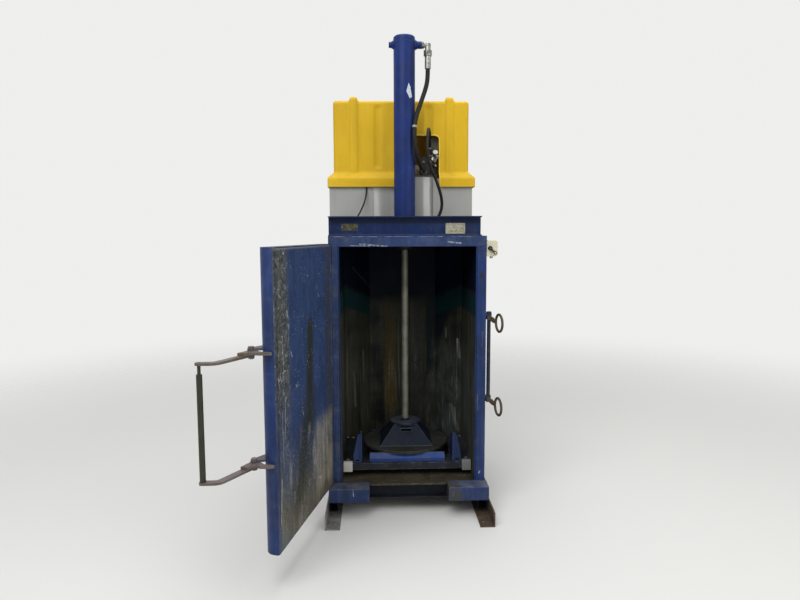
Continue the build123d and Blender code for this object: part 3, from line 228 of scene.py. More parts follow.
def look_from_photo():
    """Camera with the place, turn and angle of view that the photo's perspective gives."""
    data = bpy.data.cameras.new("camera")
    data.sensor_width = 36
    data.lens = data.sensor_width * 640 / 800
    data.clip_start = 0.05
    data.clip_end = 200
    yaw, pitch, roll = 0.0373, 0.104, 0.0036
    forward = Vector((math.sin(yaw) * math.cos(pitch), math.cos(yaw) * math.cos(pitch), -math.sin(pitch)))
    right = Vector((math.cos(yaw), -math.sin(yaw), 0))
    down = forward.cross(right)
    rolled_right = right * math.cos(roll) + down * math.sin(roll)
    rolled_down = -right * math.sin(roll) + down * math.cos(roll)
    basis = Matrix((rolled_right, -rolled_down, -forward)).transposed().to_4x4()
    basis.translation = at(-166, -3330, 1500)
    camera = linked("camera", data)
    camera.matrix_world = basis
    bpy.context.scene.camera = camera


def backdrop():
    """White to the eye and in mirrors, and a softer light on the machine."""
    world = bpy.data.worlds.new("studio")
    bpy.context.scene.world = world
    world.use_nodes = True
    tree = world.node_tree
    tree.nodes.clear()
    rays = add_node(tree, "LightPath").outputs
    direct = rays["Is Camera Ray"]
    for kind in ("Is Glossy Ray", "Is Transmission Ray"):
        direct = add_node(tree, "Math", {0: direct, 1: rays[kind]}, operation="MAXIMUM").outputs[0]
    lit = add_node(tree, "Background", {0: (1, 0.99, 0.97, 1), 1: 0.42})
    seen = add_node(tree, "Background", {0: (0.86, 0.86, 0.85, 1), 1: 1})
    mix = add_node(tree, "MixShader", {0: direct, 1: lit.outputs[0], 2: seen.outputs[0]})
    add_node(tree, "OutputWorld", {0: mix.outputs[0]})


def lamps():
    for name, place, target, size, power in (("key", (-1.6, -3.4, 4.6), (0, 0, 1.1), 3, 150),
                                             ("fill", (3.2, -3, 2.6), (0, 0, 1.2), 3, 48),
                                             ("top", (0.2, 0.4, 5.4), (0, 0, 0.5), 3.2, 110)):
        data = bpy.data.lights.new(name, "AREA")
        data.shape = "SQUARE"
        data.size = size
        data.energy = power
        lamp = linked(name, data)
        lamp.location = place
        lamp.rotation_euler = (Vector(target) - Vector(place)).to_track_quat("-Z", "Y").to_euler()


stage_plane()
look_from_photo()
backdrop()
lamps()
bpy.context.scene.view_settings.view_transform = "Standard"

# Colours of the object: linear red, green and blue
STEEL = (0.17, 0.165, 0.16)
RUST = (0.11, 0.05, 0.02)
DUST = (0.2, 0.195, 0.17)
GRIME = (0.01, 0.01, 0.009)
BLUE = (0.009, 0.034, 0.145)
BLUE_PALE = (0.05, 0.085, 0.2)
CHALK = (0.5, 0.5, 0.46)


def shade(colour, factor):
    return tuple(min(1, factor * part) for part in colour)


# Finishes: bare numbers are scales in noise cells per metre, limits of a mask, tones and shares
def blue_paint(name, wear=0.5, grime=0.3, dust=0.4, tone=BLUE, marks=(), brush=0.45, sheen=0.28,
               extra=None):
    """Brushed machine enamel: chipped to steel on its edges, scratched, streaked and dusty, with a painted
    highlight along its edges.
    """
    g = Graph(name, sheen)
    g.colour = g.blend(g.noise(3.2, 5, 0.6).span(0.36, 0.66), shade(tone, 0.55), tone)
    g.coat(g.noise(30, 4, 0.65, 0.4, (1, 1, 0.1)).span(0.5, 0.8, 0, brush), BLUE_PALE)
    g.coat(g.noise(5, 6, 0.65).span(0.45, 0.75, 0, grime), GRIME)
    g.coat(g.noise(11, 8, 0.78, 0.8).span(0.5, 0.74, 0, 0.3 * dust), DUST)
    settled = g.facing("Z").span(0.55, 0.95) * g.noise(22, 6, 0.7).span(0.32, 0.66)
    g.coat(settled * dust, DUST)
    scuffs = g.noise(9, 8, 0.75, 1.2, (1, 1, 0.35)).span(0.58, 0.7)
    scratches = g.noise(70, 2, 0.5, 0, (1, 1, 0.05)).span(0.52, 0.68)
    g.coat(scuffs * scratches * (0.55 * wear), (0.16, 0.19, 0.27))
    edge = g.edges(0.004)
    # Painted highlight: a pale line along every edge
    g.coat(edge * 0.35, BLUE_PALE)
    chips = edge * g.noise(70, 5, 0.7).span(0.64 - 0.2 * wear, 0.71 - 0.17 * wear)
    spots = g.noise(120, 4, 0.7).span(0.745 - 0.03 * wear, 0.78)
    bare = chips | spots * (0.8 * wear)
    g.coat(bare, g.blend(g.noise(40, 4, 0.6).span(0.42, 0.6), STEEL, RUST))
    flecks = g.cells(75).span(0.075, 0.045) * g.noise(7).span(0.52, 0.6)
    g.coat(flecks * (0.75 * wear), CHALK)
    if marks:
        patchy = g.noise(90, 4, 0.7).span(0.38, 0.56)
        front = g.facing("Y").span(-0.6, -0.8)
        g.draw(g.sheet(g.axis("X"), g.axis("Z")), marks, (0.36, 0.39, 0.44), 0.5, front, patchy)
    if extra:
        extra(g)
    rough = g.noise(14, 5, 0.6).span(0.3, 0.7, 0.36, 0.54) + (bare | settled) * 0.25
    peel = g.noise(260, 2, 0.5) * 0.25
    g.finish(rough, peel - bare * 0.5, 0.35, 0.0008)


def closed_door(g):
    """Place and normal of the open door, turned back to the closed door."""
    return [g.node("VectorRotate", {"Vector": source, "Center": centre, "Angle": -DOOR_ANGLE},
                   rotation_type="Z_AXIS").outputs[0]
            for source, centre in ((g.place, at(*HINGE, 0)), (g.normal, (0, 0, 0)))]


def scoured_lip(g):
    """Free edge of the door pan: its narrow lip is scoured like the plate beside it."""
    place, normal = closed_door(g)
    lip = g.axis("X", place).span(0.352, 0.358) * g.axis("Y", normal).span(0.6, 0.85)
    tone = g.blend(g.noise(34, 6, 0.72, 0.6).span(0.4, 0.58), (0.024, 0.03, 0.034), (0.085, 0.092, 0.092))
    tone = g.blend(g.noise(46, 6, 0.75, 1).span(0.57, 0.63) * 0.8, tone, (0.34, 0.36, 0.36))
    height = g.axis("Z") + (g.noise(6) - 0.5) * 0.6
    g.coat(lip * height.span(0.62, 0.9, 0.25, 0.95), tone)


def oiled_corner(g):
    """Right sill block: brown film over the part of its front next to the opening."""
    across = g.axis("X") + (g.noise(14, 5, 0.7) - 0.5) * 0.09
    film = across.between(0.2, 0.262, 0.02) * g.noise(50, 6, 0.7).span(0.36, 0.6, 0.35, 0.9)
    g.coat(film, (0.05, 0.046, 0.03))


def painted_flange_shadow(g):
    """Top beam: painted shadow darkens its web just below the upper flange."""
    web = g.facing("Y").span(-0.5, -0.8)
    g.coat(g.axis("Z").between(1.556, 1.58, 0.01) * web * 0.65, (0.003, 0.007, 0.02))


def painted_edge_highlight(g):
    """Cone: a pale line painted along its edges as a highlight."""
    g.coat(g.edges(0.007) * g.noise(30, 5, 0.7).span(0.36, 0.52) * 0.75, (0.085, 0.105, 0.135))


def bare_steel(name, tone, rust, metal, second=None):
    """Handled steel: brown film over worn metal, brighter where hands and drums rub the edges."""
    g = Graph(name, 0.35)
    cloud = g.noise(18, 6, 0.65)
    g.colour = g.blend(cloud.span(0.3, 0.7), shade(tone, 0.55), tone)
    if second:
        g.coat(g.noise(3.4, 4, 0.6).span(0.42, 0.58), second)
    brown = g.noise(30, 7, 0.7, 0.6).span(0.6 - 0.25 * rust, 0.8 - 0.2 * rust, 0, 0.85)
    g.coat(brown, RUST)
    g.coat(g.noise(7).span(0.5, 0.8, 0, 0.5), GRIME)
    g.coat(g.edges(0.002) * g.noise(60).span(0.35, 0.6) * 0.6, shade(tone, 2.2))
    g.finish(cloud.span(0.3, 0.7, 0.4, 0.64), g.noise(180, 5, 0.7), 0.3, 0.0007,
             g.value("SUBTRACT", metal, brown * metal))


def zinc(name, dirt):
    """Plated fittings under a thin grey film."""
    g = Graph(name)
    cloud = g.noise(45, 5, 0.6)
    g.colour = g.blend(cloud.span(0.35, 0.65), (0.16, 0.16, 0.145), (0.36, 0.36, 0.335))
    grime = g.noise(22, 6, 0.7).span(0.5, 0.75, 0, dirt)
    g.coat(grime, (0.07, 0.065, 0.055))
    g.finish(cloud.span(0.3, 0.7, 0.22, 0.42), g.noise(220, 3), 0.15, 0.0005, grime.span(0, 0.75, 0.9, 0.3))


# Marks: start and end in metres across and up, width in metres, strength
HEADER_MARKS = (((-0.25, 1.444), (-0.11, 1.433), 0.01, 0.75), ((-0.3, 1.437), (-0.2, 1.434), 0.006, 0.6),
                ((0.212, 1.455), (0.275, 1.447), 0.01, 0.9), ((-0.38, 1.4835), (0.38, 1.4835), 0.004, 0.45))
SILL_MARKS = (((-0.295, 0.184), (-0.293, 0.128), 0.006, 0.95), ((-0.4, 0.181), (-0.215, 0.182), 0.004, 0.6),
              ((0.215, 0.181), (0.4, 0.181), 0.004, 0.6), ((0.236, 0.15), (0.232, 0.12), 0.008, 0.4))
JAMB_MARKS = (((0.386, 0.222), (0.382, 0.208), 0.01, 0.8), ((0.371, 0.64), (0.373, 0.56), 0.003, 0.4),
              ((0.395, 0.98), (0.393, 0.9), 0.003, 0.35))
CHAMBER_MARKS = (((0.271, 0.905), (0.272, 0.85), 0.016, 0.35), ((0.336, 0.845), (0.345, 0.735), 0.022, 0.75),
                 ((0.3, 0.42), (0.338, 0.27), 0.03, 0.4), ((0.322, 0.41), (0.33, 0.3), 0.012, 0.45),
                 ((-0.313, 1.295), (-0.199, 1.155), 0.005, 0.25),
                 ((-0.25, 0.76), (-0.245, 0.56), 0.014, 0.25), ((-0.31, 0.64), (-0.3, 0.42), 0.018, 0.28))
DOOR_SMEARS = (((-0.02, 0.6), (-0.01, 0.48), 0.06, 0.6), ((-0.086, 0.5), (-0.07, 0.345), 0.07, 0.6),
               ((0.128, 0.205), (0.08, 0.3), 0.07, 0.45), ((0.03, 0.215), (-0.01, 0.33), 0.07, 0.5),
               ((0.2, 0.33), (0.15, 0.44), 0.06, 0.3), ((-0.15, 0.56), (-0.13, 0.4), 0.08, 0.45),
               ((-0.25, 0.52), (-0.235, 0.36), 0.07, 0.5))
DOOR_SCRATCHES = (((0.243, 1.175), (0.232, 1.15), 0.012, 0.8), ((0.204, 0.995), (0.19, 0.972), 0.01, 0.8),
                  ((0.338, 0.48), (0.366, 0.215), 0.008, 0.9), ((0.3, 1.08), (0.294, 0.89), 0.006, 0.6),
                  ((0.282, 0.82), (0.29, 0.64), 0.007, 0.6), ((0.318, 0.76), (0.312, 0.52), 0.005, 0.6),
                  ((0.15, 0.84), (0.135, 0.825), 0.008, 0.7), ((-0.18, 1.21), (-0.2, 1.195), 0.006, 0.6),
                  ((-0.02, 1.31), (-0.045, 1.305), 0.005, 0.5), ((0.07, 0.7), (0.06, 0.68), 0.008, 0.7),
                  ((-0.23, 0.65), (-0.235, 0.56), 0.005, 0.5), ((-0.16, 0.3), (-0.19, 0.285), 0.012, 0.7))


def worn_chamber(name):
    """Chamber plate, kept dark partly as painted shade: near black at the top, where dark paint is darkened
    further by painted shadow, a teal band of painted half-light below it, then olive plate streaked by rising
    drums.
    """
    g = Graph(name, 0.12)
    across, depth, height = g.axis("X"), g.axis("Y"), g.axis("Z")
    aside = g.value("ABSOLUTE", across)
    streak = g.noise(26, 5, 0.62, 0.3, (1, 1, 0.045))
    fine = g.noise(90, 4, 0.65, 0.2, (1, 1, 0.03))
    blotch = g.noise(5, 7, 0.65)
    speckle = g.noise(60, 6, 0.72)
    sway = (streak - 0.5) * 0.05
    # Height of the painted shadow line, which rises on the side walls towards the opening
    shadow_level = height - ((aside - 0.2) | 0) * 0.5 + sway
    drifting = across + sway
    # Scoured lower part
    g.colour = g.blend(blotch.span(0.35, 0.65), (0.013, 0.014, 0.011), (0.04, 0.04, 0.03))
    g.coat(streak.span(0.52, 0.72) * fine.span(0.45, 0.68) * 0.65, (0.16, 0.155, 0.125))
    low_left = across.span(-0.16, -0.22) * height.between(0.25, 0.7, 0.2) * streak.span(0.36, 0.6)
    g.coat(low_left * 0.6, (0.085, 0.083, 0.062))
    g.coat(drifting.between(-0.19, -0.12, 0.03) * blotch.span(0.55, 0.42) * 0.7, (0.004, 0.006, 0.01))
    rust_strip = (drifting.between(-0.106, -0.054, 0.024) * height.between(0.42, 1, 0.12)
                  * speckle.span(0.26, 0.52, 0.3, 1) * fine.span(0.3, 0.56, 0.5, 1)
                  * height.span(1, 0.55, 0.35, 1))
    g.coat(rust_strip * 0.95, (0.088, 0.061, 0.016))
    grey_strip = (drifting.between(0.062, 0.125, 0.018) * height.between(0.36, 1, 0.08)
                  * speckle.span(0.34, 0.6))
    g.coat(grey_strip * 0.6, (0.052, 0.055, 0.052))
    slant = across - (height - 0.6) * 0.3
    navy = across.span(0.146, 0.156) * slant.span(0.185, 0.16) * height.between(0.6, 1.12, 0.02)
    g.coat(navy * 0.8, (0.002, 0.006, 0.012))
    g.coat(aside.span(0.34, 0.352) * streak.span(0.42, 0.66) * 0.7, (0.085, 0.08, 0.066))
    rubbed = (g.noise(17, 5, 0.7, 0.5, (1, 1, 0.12)).span(0.52, 0.66) * fine.span(0.38, 0.62)
              * height.span(0.95, 0.7) * speckle.span(0.32, 0.52))
    g.coat(rubbed * 0.7, (0.15, 0.155, 0.13))
    # Finely scored right side
    cloudy = g.noise(12, 5, 0.65, 0.3, (1, 1, 0.45))
    right_side = across.span(0.15, 0.19) * height.between(0.26, 0.72, 0.14) * cloudy.span(0.38, 0.6)
    g.coat(right_side * 0.75, (0.062, 0.075, 0.07))
    scored = g.noise(150, 4, 0.7, 0.2, (1, 1, 0.03)).span(0.54, 0.68)
    g.coat(right_side * scored * streak.span(0.4, 0.6), (0.29, 0.31, 0.3))
    # Dark paint left at the top, darkened further as painted shadow, with a teal band of painted half-light
    # along the shadow's slanting edge
    dark_blue = g.blend(blotch.span(0.45, 0.7), (0.0006, 0.0012, 0.005), (0.002, 0.005, 0.018))
    g.coat(shadow_level.span(1.05, 1.12), dark_blue)
    g.coat(shadow_level.between(0.985, 1.085, 0.014) * aside.span(0.198, 0.212) * 0.9, (0.003, 0.024, 0.027))
    rear = depth.span(0.1, 0.18)
    g.draw(g.sheet(across, height), CHAMBER_MARKS, (0.34, 0.36, 0.33), 0.1, rear, fine.span(0.36, 0.58))
    # Clean enamel on the outer side
    clean = g.blend(g.noise(3, 5).span(0.35, 0.7), shade(BLUE, 0.6), BLUE)
    clean = g.blend(g.noise(6, 6, 0.65).span(0.5, 0.8, 0, 0.4), clean, GRIME)
    clean = g.blend(g.noise(11, 8, 0.78, 0.8).span(0.5, 0.74, 0, 0.15), clean, DUST)
    outward = g.vector("DOT_PRODUCT", g.scaled((1, 1, 0), (0, -0.037, 0)), g.normal)
    g.coat(outward.span(-0.01, 0.01), clean)
    g.finish(blotch.span(0.3, 0.7, 0.5, 0.75), fine * 0.5 + g.noise(120, 3), 0.3, 0.0009)


def plastic_yellow(name, highlight_lift=1):
    """Rotationally moulded polyethylene with a painted highlight along its edges, marked by drips."""
    g = Graph(name, 0.2)
    g.colour = g.blend(g.noise(2.6).span(0.3, 0.7), (0.53, 0.335, 0.01), (0.66, 0.425, 0.014))
    g.coat(g.axis("X").span(-0.35, 0.3, 0, 0.5), (0.7, 0.445, 0.014))
    g.coat(g.noise(20, 4, 0.6, 0.2, (1, 1, 0.08)).span(0.56, 0.78, 0, 0.35), (0.36, 0.225, 0.01))
    g.coat(g.noise(7, 5, 0.6, 0.3, (1, 1, 0.3)).span(0.55, 0.75, 0, 0.35), (0.8, 0.56, 0.045))
    low = g.axis("Z").span(1.95, 1.76)
    g.coat(g.noise(55, 6, 0.75).span(0.62, 0.76, 0, 0.45) * (low + 0.3), (0.1, 0.07, 0.02))
    # Painted highlight along the edges
    g.coat(g.edges(0.01) * g.noise(24).span(0.3, 0.6, 0.35, 0.75), (0.88, 0.64, 0.1))
    # Painted highlight: a lighter tone laid over the whole finish, used for the window rim
    if highlight_lift != 1:
        g.coat(0.8, shade((0.66, 0.48, 0.075), highlight_lift))
    g.coat(g.facing("Z").span(0.6, 0.95, 0, 0.35) * g.noise(12, 6, 0.7).span(0.4, 0.7), DUST)
    g.shader.inputs["Subsurface Weight"].default_value = 0.22
    g.shader.inputs["Subsurface Radius"].default_value = (1, 1, 0.8)
    g.shader.inputs["Subsurface Scale"].default_value = 0.012
    peel = g.noise(150, 3, 0.5) + g.noise(420, 2) * 0.35
    g.finish(g.noise(30).span(0.3, 0.7, 0.42, 0.58), peel, 0.35, 0.0012)


def weathered(g, tone, specks, rim):
    """Drips, specks of dirt and paler edges on sheet."""
    g.coat(g.noise(24, 4, 0.6, 0.2, (1, 1, 0.07)).span(0.58, 0.8, 0, 0.35), shade(tone, 0.45))
    g.coat(g.noise(85, 5, 0.75).span(specks, specks + 0.08, 0, 0.7), (0.1, 0.08, 0.06))
    g.coat(g.edges(0.002) * 0.5, shade(tone, rim))


def sheet_metal(name, tone, dark=0.75, metal=0, gloss=(0.38, 0.55), right=None):
    """Painted or bare sheet, stained by drips and specked with dirt; right is the tone of its right side."""
    g = Graph(name, 0.35)
    cloud = g.noise(4, 5, 0.6)
    g.colour = g.blend(cloud.span(0.3, 0.7), shade(tone, dark), tone)
    if right:
        g.coat(g.axis("X").span(-0.05, 0.05), right)
    weathered(g, tone, 0.68, 1.25)
    g.finish(cloud.span(0.3, 0.7, *gloss), g.noise(160, 3), 0.12, 0.0006, metal)


def tank_sheet(name, tone=(0.36, 0.365, 0.345)):
    """Folded tank sheet with painted reflections: soft upright bands of light and dark on its front, where it
    would mirror what stands round it.
    """
    g = Graph(name, 0.4)
    cloud = g.noise(6, 5, 0.6)
    across = g.axis("X") + (cloud - 0.5) * 0.02
    g.colour = g.blend(cloud.span(0.3, 0.7), shade(tone, 0.82), tone)
    # Painted reflection: upright light and dark bands on the faces turned to the front
    for low, high, soft, factor in ((-0.185, -0.15, 0.012, 1.6), (-0.12, -0.085, 0.015, 0.7),
                                    (0.066, 0.098, 0.014, 0.75), (0.12, 0.146, 0.012, 1.7),
                                    (0.158, 0.184, 0.008, 0.55)):
        g.coat(across.between(low, high, soft) * g.facing("Y").span(-0.5, -0.8) * 0.75, shade(tone, factor))
    weathered(g, tone, 0.66, 1.4)
    g.finish(cloud.span(0.3, 0.7, 0.28, 0.42), g.noise(160, 3), 0.12, 0.0006, 0.4)


def rubber(name, tone, dust=0.35):
    """Dusty black rubber, or iron painted black."""
    g = Graph(name, 0.16)
    cloud = g.noise(40, 5, 0.6)
    g.colour = g.blend(cloud.span(0.35, 0.7), tone, shade(tone, 2.2))
    g.coat(g.noise(12, 6, 0.7).span(0.55, 0.8, 0, dust), (0.085, 0.08, 0.065))
    g.finish(cloud.span(0.3, 0.7, 0.46, 0.66), g.noise(500, 3), 0.2, 0.0004)


def rusty(name, tone):
    """Steel under an even brown coat, worn to metal along its edges."""
    g = Graph(name, 0.35)
    cloud = g.noise(22, 7, 0.7, 0.5)
    g.colour = g.blend(cloud.span(0.35, 0.65), shade(tone, 0.45), tone)
    g.coat(g.noise(9, 6, 0.7).span(0.5, 0.72, 0, 0.6), (0.13, 0.1, 0.065))
    g.coat(g.edges(0.003) * 0.45, (0.22, 0.2, 0.17))
    g.finish(cloud.span(0.3, 0.7, 0.5, 0.8), g.noise(200, 6, 0.75), 0.45, 0.0012, 0.15)


def feet_metal(name):
    """Left foot worn to pale grey, right foot brown."""
    g = Graph(name, 0.35)
    cloud = g.noise(16, 7, 0.7, 0.4)
    pale = g.blend(cloud.span(0.35, 0.65), (0.11, 0.105, 0.1), (0.28, 0.27, 0.255))
    brown = g.blend(cloud.span(0.35, 0.65), (0.04, 0.028, 0.017), (0.12, 0.092, 0.06))
    g.colour = g.blend((g.axis("X") + g.noise(7) * 0.2).span(0, 0.2), pale, brown)
    g.coat(g.noise(30, 6, 0.7).span(0.6, 0.72, 0, 0.7), RUST)
    g.finish(cloud.span(0.3, 0.7, 0.5, 0.8), g.noise(150, 6, 0.75), 0.4, 0.001, 0.2)


def door_face(name):
    """Inner side of the door: dusty blue, scoured to grey near its free edge and towards its foot."""
    g = Graph(name, 0.25)
    across, height = g.axis("X", closed_door(g)[0]), g.axis("Z")
    streak = g.noise(24, 6, 0.65, 0.4, (1, 1, 0.07))
    fine = g.noise(95, 5, 0.7, 0.3, (1, 1, 0.1))
    blotch = g.noise(5.5, 7, 0.68)
    speckle = g.noise(70, 7, 0.75)
    mottled = g.noise(48, 7, 0.78, 0.8, (1, 1, 0.55))
    drift = (streak - 0.5) * 0.1
    drifting = across + drift
    # Dusty blue, with finer vertical marks
    g.colour = g.blend(blotch.span(0.34, 0.66), (0.014, 0.034, 0.105), (0.026, 0.055, 0.16))
    g.coat(fine.span(0.54, 0.76, 0, 0.5), (0.085, 0.105, 0.155))
    g.coat(streak.span(0.48, 0.3, 0, 0.6), (0.01, 0.024, 0.08))
    g.coat(speckle.span(0.56, 0.7, 0, 0.35), (0.06, 0.066, 0.07))
    g.coat(mottled.span(0.5, 0.66, 0, 0.55), (0.058, 0.074, 0.112))
    g.coat(mottled.span(0.46, 0.34, 0, 0.55), (0.01, 0.02, 0.052))
    g.coat(drifting.span(-0.275, -0.33) * speckle.span(0.34, 0.58, 0.3, 0.85), (0.048, 0.046, 0.04))
    # Scoured band along the free side
    patchy = g.noise(34, 6, 0.72, 0.6).span(0.4, 0.58)
    band_tone = g.blend(patchy, (0.022, 0.028, 0.028), (0.085, 0.092, 0.092))
    band_tone = g.blend(fine.span(0.52, 0.7) * streak.span(0.44, 0.6) * 0.7, band_tone, (0.24, 0.25, 0.235))
    band_tone = g.blend(g.noise(40, 6, 0.75, 1).span(0.565, 0.615) * 0.85, band_tone, (0.4, 0.42, 0.42))
    band = (drifting.span(0.205, 0.255) * speckle.span(0.2, 0.42, 0.6, 1)
            * (height + drift).span(0.66, 0.92, 0.45, 1))
    g.coat(band, band_tone)
    # Grey-beige foot of the door
    falling = height + (blotch - 0.5) * 0.45 + drift * 2
    foot_tone = g.blend(speckle.span(0.38, 0.6), (0.04, 0.037, 0.024), (0.15, 0.138, 0.098))
    g.coat(falling.span(0.6, 0.3, 0, 0.85), foot_tone)
    beige = (drifting.span(-0.085, -0.13) * height.between(0.25, 0.55, 0.07) * blotch.span(0.36, 0.56)
             * streak.span(0.34, 0.6, 0.25, 1) * speckle.span(0.3, 0.52, 0.4, 1))
    g.coat(beige * 0.85, (0.31, 0.285, 0.22))
    runs = g.noise(20, 4, 0.6, 0.6, (1, 1, 0.16)).span(0.54, 0.66)
    g.coat(runs * falling.span(0.66, 0.42) * speckle.span(0.34, 0.54) * 0.8, (0.34, 0.315, 0.245))
    g.coat(falling.span(0.34, 0.2) * speckle.span(0.3, 0.6, 0.4, 1) * 0.75, (0.085, 0.07, 0.046))
    # Oily streak down the middle, wider and slanting to the free side at the foot
    sheet = g.sheet(across, height, 0.01, 30)
    oily = g.stroke(sheet, (-0.055, 1.06), (-0.02, 0.6), 0.13, 0.3)
    spread = g.stroke(sheet, (-0.03, 0.7), (0.12, 0.34), 0.3, 0.15)
    g.coat((oily | spread * 0.85) * speckle.span(0.72, 0.5, 0.35, 1), (0.017, 0.019, 0.011))
    g.coat((oily | spread) * g.noise(150, 4, 0.7).span(0.6, 0.7) * 0.7, (0.13, 0.115, 0.045))
    # White marks
    fine_sheet = g.sheet(across, height, 0.003, 90)
    lined = fine.span(0.48, 0.66) * speckle.span(0.36, 0.56)
    g.draw(fine_sheet, DOOR_SMEARS, (0.5, 0.51, 0.48), 0.2, lined)
    g.draw(fine_sheet, DOOR_SCRATCHES, (0.5, 0.51, 0.48), 0.2, speckle.span(0.3, 0.5))
    wavering = height + (speckle - 0.5) * 0.08
    corner = (drifting.span(0.24, 0.275) * wavering.between(0.178, 0.25, 0.022)
              * mottled.span(0.36, 0.56, 0.3, 1))
    g.coat(corner * 0.65, (0.085, 0.115, 0.12))
    g.coat(g.cells(64).span(0.17, 0.1) * g.noise(9, 3).span(0.42, 0.54), (0.38, 0.4, 0.4))
    g.coat(height.span(1.432, 1.439) * 0.7, (0.22, 0.22, 0.2))
    g.finish(blotch.span(0.3, 0.7, 0.46, 0.7), fine + band * -0.3, 0.25, 0.0009)


def grimy_plate(name, tone=(0.06, 0.052, 0.034), crumbs=(0.22, 0.185, 0.12),
                edge_tone=(0.34, 0.32, 0.26), worn=0.6):
    """Plate under oil, paint dust and crumbs."""
    g = Graph(name, 0.25)
    cloud = g.noise(9, 8, 0.72, 0.4)
    g.colour = g.blend(cloud.span(0.35, 0.65), shade(tone, 0.4), tone)
    g.coat(g.noise(24, 6, 0.7).span(0.58, 0.72, 0, 0.7), crumbs)
    g.coat(g.edges(0.004) * g.noise(40).span(0.4, 0.6) * worn, edge_tone)
    g.finish(cloud.span(0.3, 0.7, 0.55, 0.8), g.noise(110, 7, 0.75), 0.5, 0.0015)


def brushed_plate(name, tone, mark_tone, metal):
    """Bare nameplate sheet with faint horizontal brushing and stains."""
    g = Graph(name, 0.35)
    lines = g.noise(160, 3, 0.6, 0, (0.05, 1, 1))
    g.colour = g.blend(lines.span(0.35, 0.65), shade(tone, 0.75), tone)
    g.coat(g.noise(64, 6, 0.72, 0.6).span(0.46, 0.58, 0, 0.8), mark_tone)
    g.coat(g.edges(0.003) * 0.6, shade(tone, 1.6))
    g.finish(lines.span(0.3, 0.7, 0.36, 0.55), lines, 0.15, 0.0003, metal)


# Ranges of roughness
ROUGH_CAST = (0.3, 0.5)
SOFT_SKIN = (0.5, 0.7)
blue_paint("blue")
blue_paint("blue_door", 0.6, 0.25, 0.4, (0.009, 0.033, 0.145), brush=0.35, extra=scoured_lip)
blue_paint("blue_dusty", 0.7, 0.2, 1.2, (0.018, 0.042, 0.13))
blue_paint("blue_upright", 0.8, 0.4, 0.2, (0.007, 0.026, 0.11))
blue_paint("blue_seam", 0.7, 0.6, 0.3, (0.008, 0.024, 0.09))
blue_paint("blue_jamb", 0.5, 0.3, 0.5, BLUE, JAMB_MARKS)
blue_paint("blue_header", 0.8, 0.2, 0.9, (0.02, 0.048, 0.155), HEADER_MARKS)
blue_paint("blue_sill", 1, 0.5, 0.55, (0.014, 0.034, 0.12), SILL_MARKS, extra=oiled_corner)
blue_paint("blue_beam", 0.35, 0.25, 0.3, (0.005, 0.022, 0.105), brush=0.25, sheen=0.18, extra=painted_flange_shadow)
blue_paint("blue_bright", 0.2, 0.12, 0.15, (0.005, 0.026, 0.16), brush=0.1, sheen=0.2)
blue_paint("blue_bar", 0.9, 0.05, 0.5, (0.012, 0.055, 0.26))
blue_paint("blue_dull", 0.5, 0.75, 0.4, (0.01, 0.02, 0.05))
blue_paint("blue_cone", 0.9, 0.5, 0.08, (0.004, 0.011, 0.028), brush=0.12, sheen=0.12, extra=painted_edge_highlight)
grimy_plate("base", (0.008, 0.012, 0.02), (0.05, 0.045, 0.04), (0.06, 0.07, 0.09))
bare_steel("steel", (0.1, 0.095, 0.09), 0.35, 0.55)
bare_steel("gland", (0.02, 0.022, 0.026), 0.1, 0.3)
bare_steel("lever", (0.14, 0.112, 0.088), 0.4, 0.2, (0.18, 0.165, 0.185))
bare_steel("lug", (0.125, 0.112, 0.125), 0.2, 0.2)
bare_steel("grip", (0.036, 0.038, 0.024), 0.1, 0.1)
bare_steel("rod", (0.24, 0.24, 0.19), 0.05, 0.35)
zinc("zinc", 0.75)
zinc("bright", 0.35)
worn_chamber("chamber")
plastic_yellow("yellow")
plastic_yellow("yellow_rim_highlight", 1.35)
sheet_metal("panel", (0.35, 0.355, 0.335), 0.84)
tank_sheet("tank")
sheet_metal("motor", (0.045, 0.05, 0.055), 0.6)
sheet_metal("block", (0.075, 0.064, 0.046), 0.5, 0.2, ROUGH_CAST)
sheet_metal("manifold", (0.022, 0.021, 0.018), 0.4, 0.2, ROUGH_CAST)
sheet_metal("valve", (0.3, 0.265, 0.205), 0.5, 0, (0.4, 0.6))
sheet_metal("cast", (0.66, 0.62, 0.46), 0.85)
sheet_metal("shoe", (0.66, 0.66, 0.58), 0.85, 0, (0.5, 0.65), (0.22, 0.235, 0.22))
sheet_metal("sticker", (0.55, 0.6, 0.68), 0.8, 0, SOFT_SKIN)
sheet_metal("tape", (0.34, 0.31, 0.25), 0.7, 0, SOFT_SKIN)
rubber("rubber", (0.0085, 0.0085, 0.0075), 0.25)
rubber("roller", (0.01, 0.01, 0.01), 0.1)
rubber("iron", (0.018, 0.018, 0.019))
rusty("ring", (0.08, 0.062, 0.036))
feet_metal("feet")
door_face("door_face")
grimy_plate("floor_plate")
grimy_plate("platen", (0.04, 0.042, 0.034), (0.055, 0.052, 0.04), (0.17, 0.17, 0.16))
grimy_plate("frame", (0.026, 0.03, 0.04), (0.125, 0.13, 0.135), (0.3, 0.31, 0.31), 0.9)
brushed_plate("plate_dark", (0.03, 0.03, 0.02), (0.12, 0.11, 0.05), 0)
brushed_plate("plate_silver", (0.46, 0.45, 0.37), (0.22, 0.2, 0.095), 0.15)

